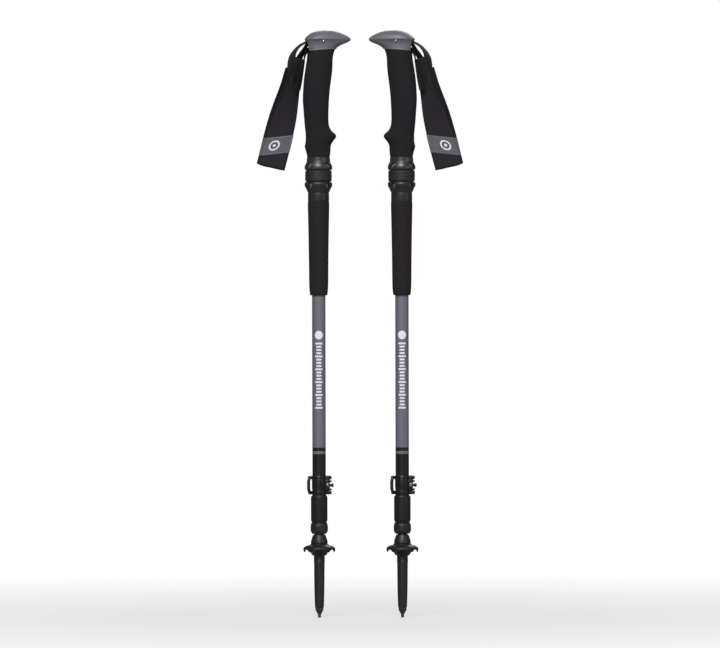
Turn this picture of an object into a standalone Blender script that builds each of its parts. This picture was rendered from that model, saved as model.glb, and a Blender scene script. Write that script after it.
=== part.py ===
"""A pair of collapsed three-section trekking poles, standing upright side by side.

X runs from the left pole to the right one, Z is up, and the clamp screws face -Y. The origin is on the
ground, midway between the two tips. Every pole is modelled about its own axis, in millimetres, with its
beak towards +X; the grip half of the right pole is that shape mirrored. The lower halves are the same.
"""

import math

import bmesh
import bpy
from mathutils import Matrix, Vector

MM = 0.001
SIDES = 20
SMALL_SIDES = 12
LEVER_SIDES = 16
GAP = 0.3
SLIDING_GAP = 0.15

# Layout
POLE_SPACING = 103.5

# Telescoping tubes: outer radii, one wall thickness, and the levels of their ends when collapsed
UPPER_RADIUS = 8.0
MIDDLE_RADIUS = 7.0
LOWER_RADIUS = 6.0
TUBE_WALL = 0.7
UPPER_TUBE_SPAN = (153.0, 640.0)
MIDDLE_TUBE_SPAN = (105.5, 552.0)
LOWER_TUBE_SPAN = (90.5, 515.0)
SLIDE_TRAVEL = 335.0

# Levels from the ground up, which fix the length of everything on the axis
HOLDER_BOTTOM = 4.7
CARBIDE_TOP = HOLDER_BOTTOM + 4.0
HOLDER_TOP = 11.6
BASKET_BOTTOM = 77.5
BASKET_TOP = 91.8
FERRULE_BOTTOM = 92.5
FERRULE_TOP = 104.0
COLLAR_BOTTOM = 104.7
COLLAR_TOP = 117.8
SLEEVE_BOTTOM = 120.3
SLEEVE_TOP = 152.0
CLAMP_BOTTOM = 153.3
CLAMP_TOP = 176.6
EXTENSION_BOTTOM = 401.3
EXTENSION_TOP = 519.3
LOWER_CUP_TOP = 542.6
BOOT_BOTTOM = 543.6
BOOT_TOP = 556.6
UPPER_CUP_BOTTOM = 557.2
GRIP_BOTTOM = 573.2
SKIRT_BOTTOM = 706.0
KNOB_TOP = 730.6

# Radii of the tip's pieces and of the pieces round the tubes
CARBIDE_RADIUS = 1.6
HOLDER_RADIUS = 4.6
HOLDER_STEM = 2.5
HUB_NECK = 7.6
BASKET_RADIUS = 19.7
COLLAR_RADIUS = 10.5
SLEEVE_RADIUS = 9.96
NECK_RADIUS = 8.0
CLAMP_RADIUS = 9.0
CORE_RADIUS = 10.4
SPIGOT_RADIUS = 7.0
BOOT_RADIUS = 16.2

# Clamp lock: a tension screw along Y through both ears, and the lever's upright pin behind them
SCREW_X = 10.6
LOCK_LEVEL = (CLAMP_BOTTOM + CLAMP_TOP) / 2
SCREW_RADIUS = 1.2
SCREW_HEAD_RADIUS = 2.5
SCREW_BORE = SCREW_RADIUS + GAP
EAR_REACH = 13.8
EAR_FRONT = -4.2
RIB_OFFSET = 4.35
RIB_REACH = 15.6
PEG_REACH = 18.0
PEG_Y = -2.5
HALF_SLIT = 0.6
PIN_Y = 9.0
PIN_RADIUS = 2.8
CAM_RADIUS = 4.4
CAM_OFFSET = 0.4
EAR_BACK = PIN_Y - CAM_OFFSET - CAM_RADIUS - GAP
ARM_HEIGHT = 4.4
ARM_THICKNESS = 3.4
ARM_RADIUS = 13.3

# Strap: a pin through the knob, two webbing legs, and a padded loop hanging along a straight line. Its face
# turns from nearly edge-on to square-on to the front, as (share of the way down, degrees).
STRAP_PIN = (6.7, 717.8)
STRAP_PIN_RADIUS = 1.0
WEBBING_WIDTH = 19.0
WEBBING_THICKNESS = 1.4
PAD_WIDTH = 36.0
PAD_THICKNESS = 2.4
PAD_TOP = Vector((-25.3, 0.0, 706.0))
PAD_FOOT = Vector((-59.9, 0.0, 566.0))
PAD_START = 0.06
LOOP_GAP_TOP = 6.0
LOOP_GAP_FOOT = 5.0
LOOP_TWIST = ((0.0, 19.0), (0.3, 29.0), (0.6, 58.0), (0.8, 90.0), (1.0, 90.0))
BAND_SPAN = (0.8, 0.91)
BAND_THICKNESS = 0.8
BAND_LIFT = 0.7

# Snap button of the lower joint: it meets the collar's window when the lower section is pulled right out
BUTTON_WINDOW_LEVEL = 112.0
BUTTON_LEVEL = BUTTON_WINDOW_LEVEL + SLIDE_TRAVEL
BUTTON_RADIUS = 1.9
BUTTON_SPAN = (1.0, 6.1)

# Release collar's lip, and its spring
COLLAR_LIP = 2.7
SPRING_RADIUS = 8.65
SPRING_WIRE = 0.4
SPRING_TURNS = 3

FINISHES = {  # colour, roughness, metallic
    "knob": ((0.16, 0.15, 0.17), 0.55, 0.0),
    "grip_foam": ((0.012, 0.012, 0.013), 0.95, 0.0),
    "grip_core": ((0.05, 0.05, 0.05), 0.6, 0.0),
    "strap_pin": ((0.75, 0.75, 0.75), 0.3, 1.0),
    "strap_webbing": ((0.02, 0.02, 0.022), 0.9, 0.0),
    "strap_pad": ((0.025, 0.024, 0.028), 0.9, 0.0),
    "strap_band": ((0.16, 0.15, 0.18), 0.85, 0.0),
    "upper_cup": ((0.03, 0.03, 0.035), 0.35, 0.0),
    "shock_boot": ((0.04, 0.04, 0.045), 0.6, 0.0),
    "shock_elastomer": ((0.45, 0.16, 0.07), 0.5, 0.0),
    "lower_cup": ((0.03, 0.03, 0.035), 0.35, 0.0),
    "stop_ring": ((0.05, 0.05, 0.05), 0.5, 0.0),
    "foam_extension": ((0.012, 0.012, 0.013), 0.95, 0.0),
    "upper_tube": ((0.17, 0.16, 0.19), 0.35, 0.6),
    "lock_clamp": ((0.015, 0.015, 0.018), 0.45, 0.0),
    "lock_lever": ((0.02, 0.02, 0.025), 0.35, 0.8),
    "lever_pin": ((0.03, 0.03, 0.03), 0.35, 1.0),
    "tension_screw": ((0.8, 0.8, 0.8), 0.25, 1.0),
    "middle_tube": ((0.02, 0.02, 0.025), 0.35, 0.6),
    "middle_bushing": ((0.3, 0.3, 0.3), 0.5, 0.0),
    "release_housing": ((0.018, 0.018, 0.022), 0.4, 0.0),
    "release_collar": ((0.015, 0.015, 0.018), 0.5, 0.0),
    "release_spring": ((0.5, 0.5, 0.5), 0.3, 1.0),
    "lower_tube": ((0.02, 0.02, 0.025), 0.35, 0.6),
    "lower_bushing": ((0.3, 0.3, 0.3), 0.5, 0.0),
    "lock_button": ((0.6, 0.6, 0.6), 0.3, 1.0),
    "flex_tip": ((0.015, 0.015, 0.017), 0.6, 0.0),
    "basket": ((0.015, 0.015, 0.018), 0.6, 0.0),
    "tip_holder": ((0.35, 0.35, 0.36), 0.35, 1.0),
    "carbide_tip": ((0.3, 0.3, 0.3), 0.4, 1.0),
}


class Pole:
    """One pole: its name, which way its beak points, and the empties that its pieces hang on."""

    def __init__(self, name, x, facing):
        self.name = name
        self.facing = facing
        self.shaft = add_empty(f"{name}_pole_axis", (x, 0, 0))
        self.strap_hinge = self.frame("strap_hinge", strap_hinge_point() * Vector((facing, 1, 1)))
        self.lever_hinge = self.frame("lever_hinge", (SCREW_X, PIN_Y, LOCK_LEVEL))
        self.screw_axis = self.frame("screw_axis", (SCREW_X, 0, LOCK_LEVEL))
        self.button_axis = self.frame("button_axis", (0, 0, BUTTON_LEVEL))

    def frame(self, label, place):
        return add_empty(f"{self.name}_{label}", place, self.shaft)


def add_empty(name, place, parent=None):
    """An empty at a place in millimetres, under another empty or in the world."""
    empty = bpy.data.objects.new(name, None)
    empty.empty_display_size = 10 * MM
    empty.location = Vector(place) * MM
    empty.parent = parent
    bpy.context.collection.objects.link(empty)
    return empty


def add_material(name, part):
    colour, roughness, metallic = FINISHES[part]
    material = bpy.data.materials.new(name)
    material.use_nodes = True
    shader = material.node_tree.nodes["Principled BSDF"]
    shader.inputs["Base Color"].default_value = (*colour, 1.0)
    shader.inputs["Roughness"].default_value = roughness
    shader.inputs["Metallic"].default_value = metallic
    return material


def link_mesh(name, shape, frame):
    """Turns a shape about a pole's axis into an object whose origin is its frame's."""
    bmesh.ops.recalc_face_normals(shape, faces=shape.faces[:])
    shape.transform(Matrix.Scale(MM, 4))
    if frame.parent:
        shape.transform(Matrix.Translation(-frame.location))
    mesh = bpy.data.meshes.new(name)
    shape.to_mesh(mesh)
    shape.free()
    mesh.shade_smooth()
    mesh.set_sharp_from_angle(angle=math.radians(35))
    piece = bpy.data.objects.new(name, mesh)
    piece.parent = frame
    bpy.context.collection.objects.link(piece)
    return piece


def add_piece(pole, part, shape, frame=None, mirrored=False):
    """Adds one sub-part of a pole; a mirrored one takes the side that its beak points to."""
    if mirrored:
        shape.transform(Matrix.Diagonal((pole.facing, 1, 1, 1)))
    name = f"{pole.name}_{part}"
    piece = link_mesh(name, shape, frame or pole.shaft)
    piece.data.materials.append(add_material(name, part))
    return piece


def combine(piece, shape, operation="DIFFERENCE", mirror=1):
    """Cuts a shape away from a piece, or joins it on, with a hidden helper object."""
    shape.transform(Matrix.Diagonal((mirror, 1, 1, 1)))
    helper = link_mesh(f"{piece.name}_helper", shape, piece.parent)
    helper.hide_render = True
    helper.display_type = "WIRE"
    modifier = piece.modifiers.new(operation.title(), "BOOLEAN")
    modifier.operation = operation
    modifier.solver = "EXACT"
    modifier.object = helper


def turned(outline, sides=SIDES):
    """Turns an outline of (radius, level) points about Z.

    An outline that starts and ends on the axis makes a solid; any other is a loop and makes a hollow ring.
    """
    shape = bmesh.new()
    rings = []
    for radius, level in outline:
        if radius == 0:
            rings.append([shape.verts.new((0, 0, level))] * sides)
        else:
            rings.append([shape.verts.new(point) for point in circle(radius, level, sides)])
    if outline[0][0] > 0:
        rings.append(rings[0])
    skin(shape, rings)
    return shape


def circle(radius, level, sides=SIDES):
    turns = [2 * math.pi * index / sides for index in range(sides)]
    return [Vector((radius * math.cos(turn), radius * math.sin(turn), level)) for turn in turns]


def skin(shape, rings):
    """Joins rings of corners, leaving out the corners that two neighbours share."""
    for low, high in zip(rings, rings[1:]):
        for index, corner in enumerate(low):
            following = (index + 1) % len(low)
            corners = dict.fromkeys((corner, low[following], high[following], high[index]))
            shape.faces.new(list(corners))


def lofted(sections):
    """Skins a run of equal point loops and closes both ends flat."""
    shape = bmesh.new()
    rings = [[shape.verts.new(point) for point in section] for section in sections]
    skin(shape, rings)
    shape.faces.new(rings[0])
    shape.faces.new(rings[-1])
    return shape


def cylinder(radius, bottom, top, sides=SMALL_SIDES):
    return lofted([circle(radius, bottom, sides), circle(radius, top, sides)])


def block(low, high):
    """An upright box between two corners."""
    shape = bmesh.new()
    bmesh.ops.create_cube(shape, size=1.0)
    low, high = Vector(low), Vector(high)
    bmesh.ops.scale(shape, vec=high - low, verts=shape.verts)
    bmesh.ops.translate(shape, vec=(low + high) / 2, verts=shape.verts)
    return shape


def along(shape, direction, place=(0, 0, 0)):
    """Turns a shape built up Z to run in a direction from a place."""
    turn = Vector((0, 0, 1)).rotation_difference(Vector(direction)).to_matrix().to_4x4()
    shape.transform(Matrix.Translation(place) @ turn)
    return shape


def bore_of(radius):
    """The inner radius of a tube of the given outer radius."""
    return radius - TUBE_WALL


def tube(radius, span):
    bottom, top = span
    bore = bore_of(radius)
    return turned([(radius, bottom), (radius, top), (bore, top), (bore, bottom)])


# Tip, basket and lower section


def add_carbide_tip(pole):
    outline = [(0, 0), (1.5, 0), (CARBIDE_RADIUS, 1.2), (CARBIDE_RADIUS, CARBIDE_TOP), (0, CARBIDE_TOP)]
    add_piece(pole, "carbide_tip", turned(outline, SMALL_SIDES))


def add_tip_holder(pole):
    """The steel seat of the tip: a cone, a knurled ring, and a stem that runs up inside the plastic."""
    knurl = HOLDER_TOP - 2.6
    socket = CARBIDE_RADIUS + GAP
    stem_top = 40.0
    outline = [
        (0, CARBIDE_TOP + GAP),
        (socket, CARBIDE_TOP + GAP),
        (socket, HOLDER_BOTTOM),
        (2.3, HOLDER_BOTTOM),
        (3.9, knurl),
        (HOLDER_RADIUS, knurl + 0.2),
        (HOLDER_RADIUS, HOLDER_TOP),
        (HOLDER_STEM, HOLDER_TOP),
        (HOLDER_STEM, stem_top),
        (0, stem_top),
    ]
    add_piece(pole, "tip_holder", turned(outline))


def add_flex_tip(pole):
    """The tapered tip: a bored stem for the steel holder, and a ferrule on top that the tube sits in."""
    stem_bore = HOLDER_STEM + GAP
    tube_bore = LOWER_RADIUS + GAP
    outline = [
        (stem_bore, HOLDER_TOP + GAP),
        (4.9, HOLDER_TOP + GAP),
        (5.65, 34.0),
        (6.1, 66.7),
        (6.44, BASKET_BOTTOM - 0.8),
        (HUB_NECK, BASKET_BOTTOM),
        (HUB_NECK, BASKET_TOP + GAP),
        (9.85, FERRULE_BOTTOM),
        (9.5, 96.6),
        (7.3, FERRULE_TOP),
        (tube_bore, FERRULE_TOP),
        (tube_bore, LOWER_TUBE_SPAN[0] - GAP),
        (stem_bore, LOWER_TUBE_SPAN[0] - GAP),
    ]
    add_piece(pole, "flex_tip", turned(outline))


def add_basket(pole):
    """The basket: a hub round the tip's thread and a thin umbrella that ends in a turned-down rim."""
    hub_bore = HUB_NECK + GAP
    outline = [
        (hub_bore, BASKET_BOTTOM),
        (8.9, BASKET_BOTTOM),
        (10.3, 81.7),
        (14.6, 84.0),
        (17.5, 85.4),
        (18.7, 82.3),
        (19.5, 82.3),
        (BASKET_RADIUS, 86.0),
        (15.9, 89.1),
        (11.2, 90.0),
        (10.4, BASKET_TOP),
        (hub_bore, BASKET_TOP),
    ]
    add_piece(pole, "basket", turned(outline))


def add_lower_tube(pole):
    piece = add_piece(pole, "lower_tube", tube(LOWER_RADIUS, LOWER_TUBE_SPAN))
    combine(piece, button_hole(BUTTON_LEVEL, (0, LOWER_RADIUS + 1)))


def button_hole(level, span):
    """A round hole that runs out along +X."""
    return along(cylinder(BUTTON_RADIUS + GAP, *span), (1, 0, 0), (0, 0, level))


def add_lower_bushing(pole):
    """A plug in the lower tube's top: it carries the snap button and guides the tube in the middle one."""
    plug = bore_of(LOWER_RADIUS) - GAP
    guide = bore_of(MIDDLE_RADIUS) - SLIDING_GAP
    bottom = BUTTON_LEVEL - 10
    top = LOWER_TUBE_SPAN[1] + GAP
    outline = [(0, bottom), (plug, bottom), (plug, top), (guide, top), (guide, top + 6), (0, top + 6)]
    piece = add_piece(pole, "lower_bushing", turned(outline))
    combine(piece, button_hole(BUTTON_LEVEL, (-0.5, LOWER_RADIUS)))


def add_lock_button(pole):
    inner, outer = BUTTON_SPAN
    outline = [(0, inner), (BUTTON_RADIUS, inner), (BUTTON_RADIUS, outer - 0.8), (1.1, outer), (0, outer)]
    shape = along(turned(outline, SMALL_SIDES), (1, 0, 0), (0, 0, BUTTON_LEVEL))
    add_piece(pole, "lock_button", shape, pole.button_axis)


# Middle section and its release joint


def add_middle_tube(pole):
    piece = add_piece(pole, "middle_tube", tube(MIDDLE_RADIUS, MIDDLE_TUBE_SPAN))
    combine(piece, button_hole(BUTTON_WINDOW_LEVEL, (0, MIDDLE_RADIUS + 1)))


def add_middle_bushing(pole):
    plug = bore_of(MIDDLE_RADIUS) - GAP
    guide = bore_of(UPPER_RADIUS) - SLIDING_GAP
    tube_top = MIDDLE_TUBE_SPAN[1]
    outline = [
        (0, tube_top - 16),
        (plug, tube_top - 16),
        (plug, tube_top + GAP),
        (guide, tube_top + GAP),
        (guide, tube_top + 9),
        (0, tube_top + 9),
    ]
    add_piece(pole, "middle_bushing", turned(outline))


def add_release_housing(pole):
    """The sleeve on the middle tube's foot, whose thin neck carries the collar and its spring."""
    bore = MIDDLE_RADIUS + GAP
    groove = 8.9
    outline = [
        (bore, COLLAR_BOTTOM + GAP),
        (NECK_RADIUS, COLLAR_BOTTOM + GAP),
        (NECK_RADIUS, COLLAR_TOP + GAP),
        (groove, COLLAR_TOP + GAP),
        (groove, SLEEVE_BOTTOM),
        (9.5, SLEEVE_BOTTOM),
        (SLEEVE_RADIUS, SLEEVE_BOTTOM + 1.2),
        (SLEEVE_RADIUS, SLEEVE_TOP - 1.8),
        (9.1, SLEEVE_TOP),
        (bore, SLEEVE_TOP),
    ]
    piece = add_piece(pole, "release_housing", turned(outline))
    combine(piece, button_hole(BUTTON_WINDOW_LEVEL, (0, NECK_RADIUS + 0.6)))


def add_release_collar(pole):
    """The ring that slides up to free the snap button, with a lip that the spring pushes down."""
    pocket = 9.3
    lip_top = COLLAR_BOTTOM + COLLAR_LIP
    outline = [
        (NECK_RADIUS + GAP, COLLAR_BOTTOM),
        (8.9, COLLAR_BOTTOM),
        (9.3, COLLAR_BOTTOM + 2.0),
        (COLLAR_RADIUS, COLLAR_BOTTOM + 4.4),
        (COLLAR_RADIUS, COLLAR_TOP - 3.6),
        (9.85, COLLAR_TOP),
        (pocket, COLLAR_TOP),
        (pocket, lip_top),
        (NECK_RADIUS + GAP, lip_top),
    ]
    add_piece(pole, "release_collar", turned(outline))


def add_release_spring(pole):
    """A coil between the collar's lip and the housing's shoulder."""
    bottom = COLLAR_BOTTOM + COLLAR_LIP + GAP + SPRING_WIRE
    top = COLLAR_TOP - SPRING_WIRE
    steps = SPRING_TURNS * SIDES
    sections = []
    for step in range(steps + 1):
        turn = 2 * math.pi * step / SIDES
        level = bottom + (top - bottom) * step / steps
        outward = Vector((math.cos(turn), math.sin(turn), 0))
        sections.append([outward * (SPRING_RADIUS + ring.x) + Vector((0, 0, level + ring.y))
                         for ring in circle(SPRING_WIRE, 0, 5)])
    add_piece(pole, "release_spring", lofted(sections))


# Upper tube and clamp lock


def add_upper_tube(pole):
    """The grey tube; a slit up its foot lets the clamp squeeze it."""
    piece = add_piece(pole, "upper_tube", tube(UPPER_RADIUS, UPPER_TUBE_SPAN))
    foot = UPPER_TUBE_SPAN[0]
    slit = block((UPPER_RADIUS - 2, -0.8, foot - 1), (UPPER_RADIUS + 1, 0.8, CLAMP_TOP + 6))
    combine(piece, slit)


def add_lock_clamp(pole):
    """A split band with two ears; the front ear carries a round-headed peg between two ribs."""
    band = cylinder(CLAMP_RADIUS, CLAMP_BOTTOM, CLAMP_TOP, SIDES)
    piece = add_piece(pole, "lock_clamp", band)
    ears = block((5, EAR_FRONT, CLAMP_BOTTOM), (EAR_REACH, EAR_BACK, CLAMP_TOP))
    combine(piece, ears, "UNION")
    for side in (-1, 1):
        level = LOCK_LEVEL + side * RIB_OFFSET
        rib = block((EAR_REACH - 1, EAR_FRONT + 0.4, level - 0.9), (RIB_REACH, -1.0, level + 0.9))
        combine(piece, rib, "UNION")
    combine(piece, along(clamp_peg(), (1, 0, 0), (0, PEG_Y, LOCK_LEVEL)), "UNION")
    combine(piece, cylinder(UPPER_RADIUS + GAP, CLAMP_BOTTOM - 1, CLAMP_TOP + 1, SIDES))
    slit = block((6, -HALF_SLIT, CLAMP_BOTTOM - 1), (EAR_REACH + 6, HALF_SLIT, CLAMP_TOP + 1))
    combine(piece, slit)
    hole = cylinder(SCREW_BORE, EAR_FRONT - 1, EAR_BACK + 1)
    combine(piece, along(hole, (0, 1, 0), (SCREW_X, 0, LOCK_LEVEL)))


def clamp_peg():
    """The round-headed peg, built up from inside the ear."""
    neck = 1.3
    head = 2.15
    outline = [
        (0, EAR_REACH - 1),
        (neck, EAR_REACH - 1),
        (neck, PEG_REACH - 2.6),
        (head, PEG_REACH - 2.3),
        (head, PEG_REACH - 0.6),
        (neck, PEG_REACH),
        (0, PEG_REACH),
    ]
    return turned(outline, SMALL_SIDES)


def arm_section(turn):
    """One upright section through the lever's frame, at an angle round the tube."""
    outward = Vector((math.cos(turn), math.sin(turn), 0))
    corners = []
    for side, level in ((-1, CLAMP_BOTTOM), (1, CLAMP_BOTTOM), (1, CLAMP_TOP), (-1, CLAMP_TOP)):
        corners.append(outward * (ARM_RADIUS + side * ARM_THICKNESS / 2) + Vector((0, 0, level)))
    return corners


def add_lock_lever(pole):
    """A frame behind the tube: two forks on the pin, two arms, and a finger bar at the far end."""
    start, end = math.radians(40), math.radians(183)
    steps = 10
    sections = [arm_section(start + (end - start) * step / steps) for step in range(steps + 1)]
    piece = add_piece(pole, "lock_lever", lofted(sections), pole.lever_hinge)
    cam = cylinder(CAM_RADIUS, CLAMP_BOTTOM, CLAMP_TOP, LEVER_SIDES)
    combine(piece, along(cam, (0, 0, 1), (SCREW_X, PIN_Y - CAM_OFFSET, 0)), "UNION")
    window_left = -ARM_RADIUS + ARM_THICKNESS / 2 + 0.4
    window = block((window_left, -8, CLAMP_BOTTOM + ARM_HEIGHT), (22, 20, CLAMP_TOP - ARM_HEIGHT))
    combine(piece, window)
    pin_hole = cylinder(PIN_RADIUS + GAP, CLAMP_BOTTOM - 1, CLAMP_TOP + 1, LEVER_SIDES)
    combine(piece, along(pin_hole, (0, 0, 1), (SCREW_X, PIN_Y, 0)))


def add_lever_pin(pole):
    """The upright pin that the lever turns on; the tension screw runs through it."""
    pin = cylinder(PIN_RADIUS, CLAMP_BOTTOM, CLAMP_TOP, LEVER_SIDES)
    piece = add_piece(pole, "lever_pin", along(pin, (0, 0, 1), (SCREW_X, PIN_Y, 0)))
    hole = cylinder(SCREW_BORE, PIN_Y - 5, PIN_Y + 5)
    combine(piece, along(hole, (0, 1, 0), (SCREW_X, 0, LOCK_LEVEL)))


def add_tension_screw(pole):
    head_back = EAR_FRONT - GAP
    head_front = head_back - 1.9
    tip = PIN_Y + PIN_RADIUS - 0.3
    outline = [
        (0, head_front + 1.2),
        (SCREW_RADIUS, head_front + 1.2),
        (SCREW_RADIUS, head_front),
        (SCREW_HEAD_RADIUS, head_front),
        (SCREW_HEAD_RADIUS, head_back),
        (SCREW_RADIUS, head_back),
        (SCREW_RADIUS, tip),
        (0, tip),
    ]
    shape = along(turned(outline, SMALL_SIDES), (0, 1, 0), (SCREW_X, 0, LOCK_LEVEL))
    add_piece(pole, "tension_screw", shape, pole.screw_axis)


# Foam extension and shock absorber


def add_foam_extension(pole):
    bore = UPPER_RADIUS + GAP
    outline = [
        (bore, EXTENSION_BOTTOM),
        (9.6, EXTENSION_BOTTOM),
        (10.9, EXTENSION_BOTTOM + 6),
        (11.5, EXTENSION_BOTTOM + 16),
        (11.8, 445.0),
        (13.0, EXTENSION_TOP - 4),
        (12.4, EXTENSION_TOP - GAP),
        (bore, EXTENSION_TOP - GAP),
    ]
    add_piece(pole, "foam_extension", turned(outline))


def cup_windows(piece, level, half_height):
    """Two crossing cuts that open four oval windows in a cup's flare."""
    half_width = 4.0
    for azimuth in (49, 131):
        turn = math.radians(azimuth)
        rim = [Vector((half_height * corner.x, half_width * corner.y, 0))
               for corner in circle(1, 0, SMALL_SIDES)]
        prism = lofted([[corner + Vector((0, 0, end)) for corner in rim] for end in (-20, 20)])
        combine(piece, along(prism, (math.cos(turn), math.sin(turn), 0), (0, 0, level)))


def add_lower_cup(pole):
    """The shaft's half of the shock absorber: a collar on the tube and a flared cup, open upwards."""
    hub = UPPER_RADIUS + GAP
    outline = [
        (hub, EXTENSION_TOP),
        (12.6, EXTENSION_TOP),
        (12.6, 529.3),
        (15.1, 534.6),
        (16.95, 539.4),
        (15.3, LOWER_CUP_TOP),
        (14.0, LOWER_CUP_TOP),
        (15.3, 539.6),
        (13.6, 534.6),
        (12.3, 532.2),
        (hub, 532.2),
    ]
    piece = add_piece(pole, "lower_cup", turned(outline))
    cup_windows(piece, 537.0, 2.8)


def add_upper_cup(pole):
    """The grip's half of the shock absorber, open downwards."""
    hub = UPPER_RADIUS + GAP
    outline = [
        (hub, 566.6),
        (13.0, 566.6),
        (14.0, 564.8),
        (15.4, 560.6),
        (14.0, UPPER_CUP_BOTTOM),
        (15.2, UPPER_CUP_BOTTOM),
        (16.95, 560.4),
        (15.5, 564.7),
        (14.2, 567.2),
        (13.9, GRIP_BOTTOM - GAP),
        (hub, GRIP_BOTTOM - GAP),
    ]
    piece = add_piece(pole, "upper_cup", turned(outline))
    cup_windows(piece, 562.7, 2.3)


def add_shock_elastomer(pole):
    """A rubber spool round the tube, flared inside both cups, that the grip presses on."""
    bore = UPPER_RADIUS + 0.4
    outline = [
        (bore, 532.5),
        (11.9, 532.5),
        (14.9, 539.6),
        (13.4, LOWER_CUP_TOP - 0.2),
        (11.5, 544.5),
        (11.5, 555.5),
        (13.4, UPPER_CUP_BOTTOM + 0.2),
        (15.0, 560.6),
        (12.6, 566.3),
        (bore, 566.3),
    ]
    add_piece(pole, "shock_elastomer", turned(outline))


def add_shock_boot(pole):
    outline = [
        (13.2, BOOT_BOTTOM),
        (15.3, BOOT_BOTTOM),
        (BOOT_RADIUS, BOOT_BOTTOM + 1.4),
        (BOOT_RADIUS, BOOT_TOP - 1.4),
        (15.3, BOOT_TOP),
        (13.2, BOOT_TOP),
    ]
    add_piece(pole, "shock_boot", turned(outline))


def add_stop_ring(pole):
    """The ring near the tube's top that keeps the grip's core from being pulled off."""
    bottom = 622.6
    top = bottom + 12
    add_piece(pole, "stop_ring", turned([(8.2, bottom), (8.9, bottom), (8.9, top), (8.2, top)]))


# Grip


def add_grip_core(pole):
    """The stiff core inside the foam: it slides on the tube's top end and holds the knob's spigot."""
    bearing = UPPER_RADIUS + 0.25
    chamber = 9.2
    socket = SPIGOT_RADIUS + GAP
    top = SKIRT_BOTTOM - 0.8
    outline = [
        (0, 655.0),
        (chamber, 655.0),
        (chamber, 622.3),
        (bearing, 622.3),
        (bearing, GRIP_BOTTOM),
        (CORE_RADIUS, GRIP_BOTTOM),
        (CORE_RADIUS, top),
        (socket, top),
        (socket, top - 12),
        (0, top - 12),
    ]
    add_piece(pole, "grip_core", turned(outline))


def egg(level, rear, front, half_width, beak_taper=0.0, sides=24):
    """A level section with a round rear and a longer front, narrowed towards the beak."""
    centre = rear + half_width
    points = []
    for index in range(sides):
        turn = 2 * math.pi * index / sides
        forward = max(math.cos(turn), 0)
        reach = (front - centre) if forward > 0 else half_width
        narrowing = 1 - beak_taper * forward
        side = half_width * math.sin(turn) * narrowing
        points.append(Vector((centre + reach * math.cos(turn), side, level)))
    return points


def add_grip_foam(pole):
    """The moulded hand grip, with a finger beak low on its front and a small swell at the rear."""
    sections = [  # level, rear, front, half width
        (GRIP_BOTTOM, -13.6, 13.8, 13.6),
        (580.0, -14.6, 14.4, 13.8),
        (587.0, -16.6, 14.8, 14.1),
        (592.0, -15.9, 16.7, 14.1),
        (597.0, -15.5, 20.6, 14.0),
        (599.6, -15.5, 21.5, 14.0),
        (602.2, -15.6, 20.6, 14.0),
        (607.0, -16.1, 15.2, 13.9),
        (612.0, -16.6, 12.9, 13.9),
        (620.0, -17.3, 12.1, 14.0),
        (632.0, -18.2, 12.1, 14.3),
        (645.0, -19.0, 12.7, 14.6),
        (658.0, -18.5, 13.8, 14.7),
        (670.0, -17.6, 15.3, 14.7),
        (683.0, -15.8, 16.9, 14.5),
        (697.0, -13.9, 17.8, 14.2),
        (SKIRT_BOTTOM - GAP, -13.4, 20.6, 14.0),
    ]
    piece = add_piece(pole, "grip_foam", lofted([egg(*section) for section in sections]), mirrored=True)
    combine(piece, cylinder(CORE_RADIUS + GAP, GRIP_BOTTOM - 1, SKIRT_BOTTOM + 1, SIDES))


def add_knob(pole):
    """The palm knob: a skirt flush with the foam, a domed top, and a beak that droops at the front."""
    sections = [  # level, rear, front, half width, beak taper
        (SKIRT_BOTTOM, -13.6, 20.8, 14.0, 0.0),
        (709.0, -13.9, 22.1, 14.4, 0.05),
        (712.0, -14.3, 25.2, 14.9, 0.1),
        (714.6, -14.9, 30.0, 15.6, 0.18),
        (717.0, -15.7, 36.2, 16.6, 0.25),
        (719.6, -16.8, 39.5, 18.0, 0.3),
        (721.6, -16.4, 39.3, 17.8, 0.3),
        (724.5, -14.0, 34.8, 16.2, 0.25),
        (727.2, -10.2, 29.0, 13.4, 0.2),
        (729.4, -4.6, 22.2, 9.2, 0.1),
        (KNOB_TOP, 3.0, 14.0, 4.5, 0.0),
    ]
    piece = add_piece(pole, "knob", lofted([egg(*section) for section in sections]), mirrored=True)
    socket_floor = SKIRT_BOTTOM - 0.8 - 12 + GAP
    combine(piece, cylinder(SPIGOT_RADIUS, socket_floor, SKIRT_BOTTOM + 2, SIDES), "UNION")
    combine(piece, strap_slot(), mirror=pole.facing)
    pin_x, pin_level = STRAP_PIN
    hole = along(cylinder(STRAP_PIN_RADIUS + GAP, -30, 30), (0, 1, 0), (pin_x, 0, pin_level))
    combine(piece, hole, mirror=pole.facing)


def strap_slot():
    """A slot from round the strap pin down to the knob's rear, where the webbing leaves."""
    pin_x, pin_level = STRAP_PIN
    profile = [
        (pin_x + 3.8, pin_level + 4.0),
        (-19.0, pin_level - 1.0),
        (-19.0, SKIRT_BOTTOM - 3),
        (-8.6, SKIRT_BOTTOM - 3),
        (pin_x - 3.4, pin_level - 4.2),
        (pin_x + 3.8, pin_level - 4.2),
    ]
    half_width = WEBBING_WIDTH / 2 + 1.2
    return lofted([[Vector((x, side * half_width, level)) for x, level in profile] for side in (-1, 1)])


# Strap


def add_strap_pin(pole):
    pin_x, pin_level = STRAP_PIN
    half_length = 16.6
    pin = cylinder(STRAP_PIN_RADIUS, -half_length, half_length)
    pin = along(pin, (0, 1, 0), (pin_x, 0, pin_level))
    add_piece(pole, "strap_pin", pin, mirrored=True)


def loop_twist(share):
    """How far the loop's face has turned at a share of the way down."""
    for (start, first), (end, last) in zip(LOOP_TWIST, LOOP_TWIST[1:]):
        if share <= end:
            return math.radians(first + (last - first) * (share - start) / (end - start))
    return math.radians(last)


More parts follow.
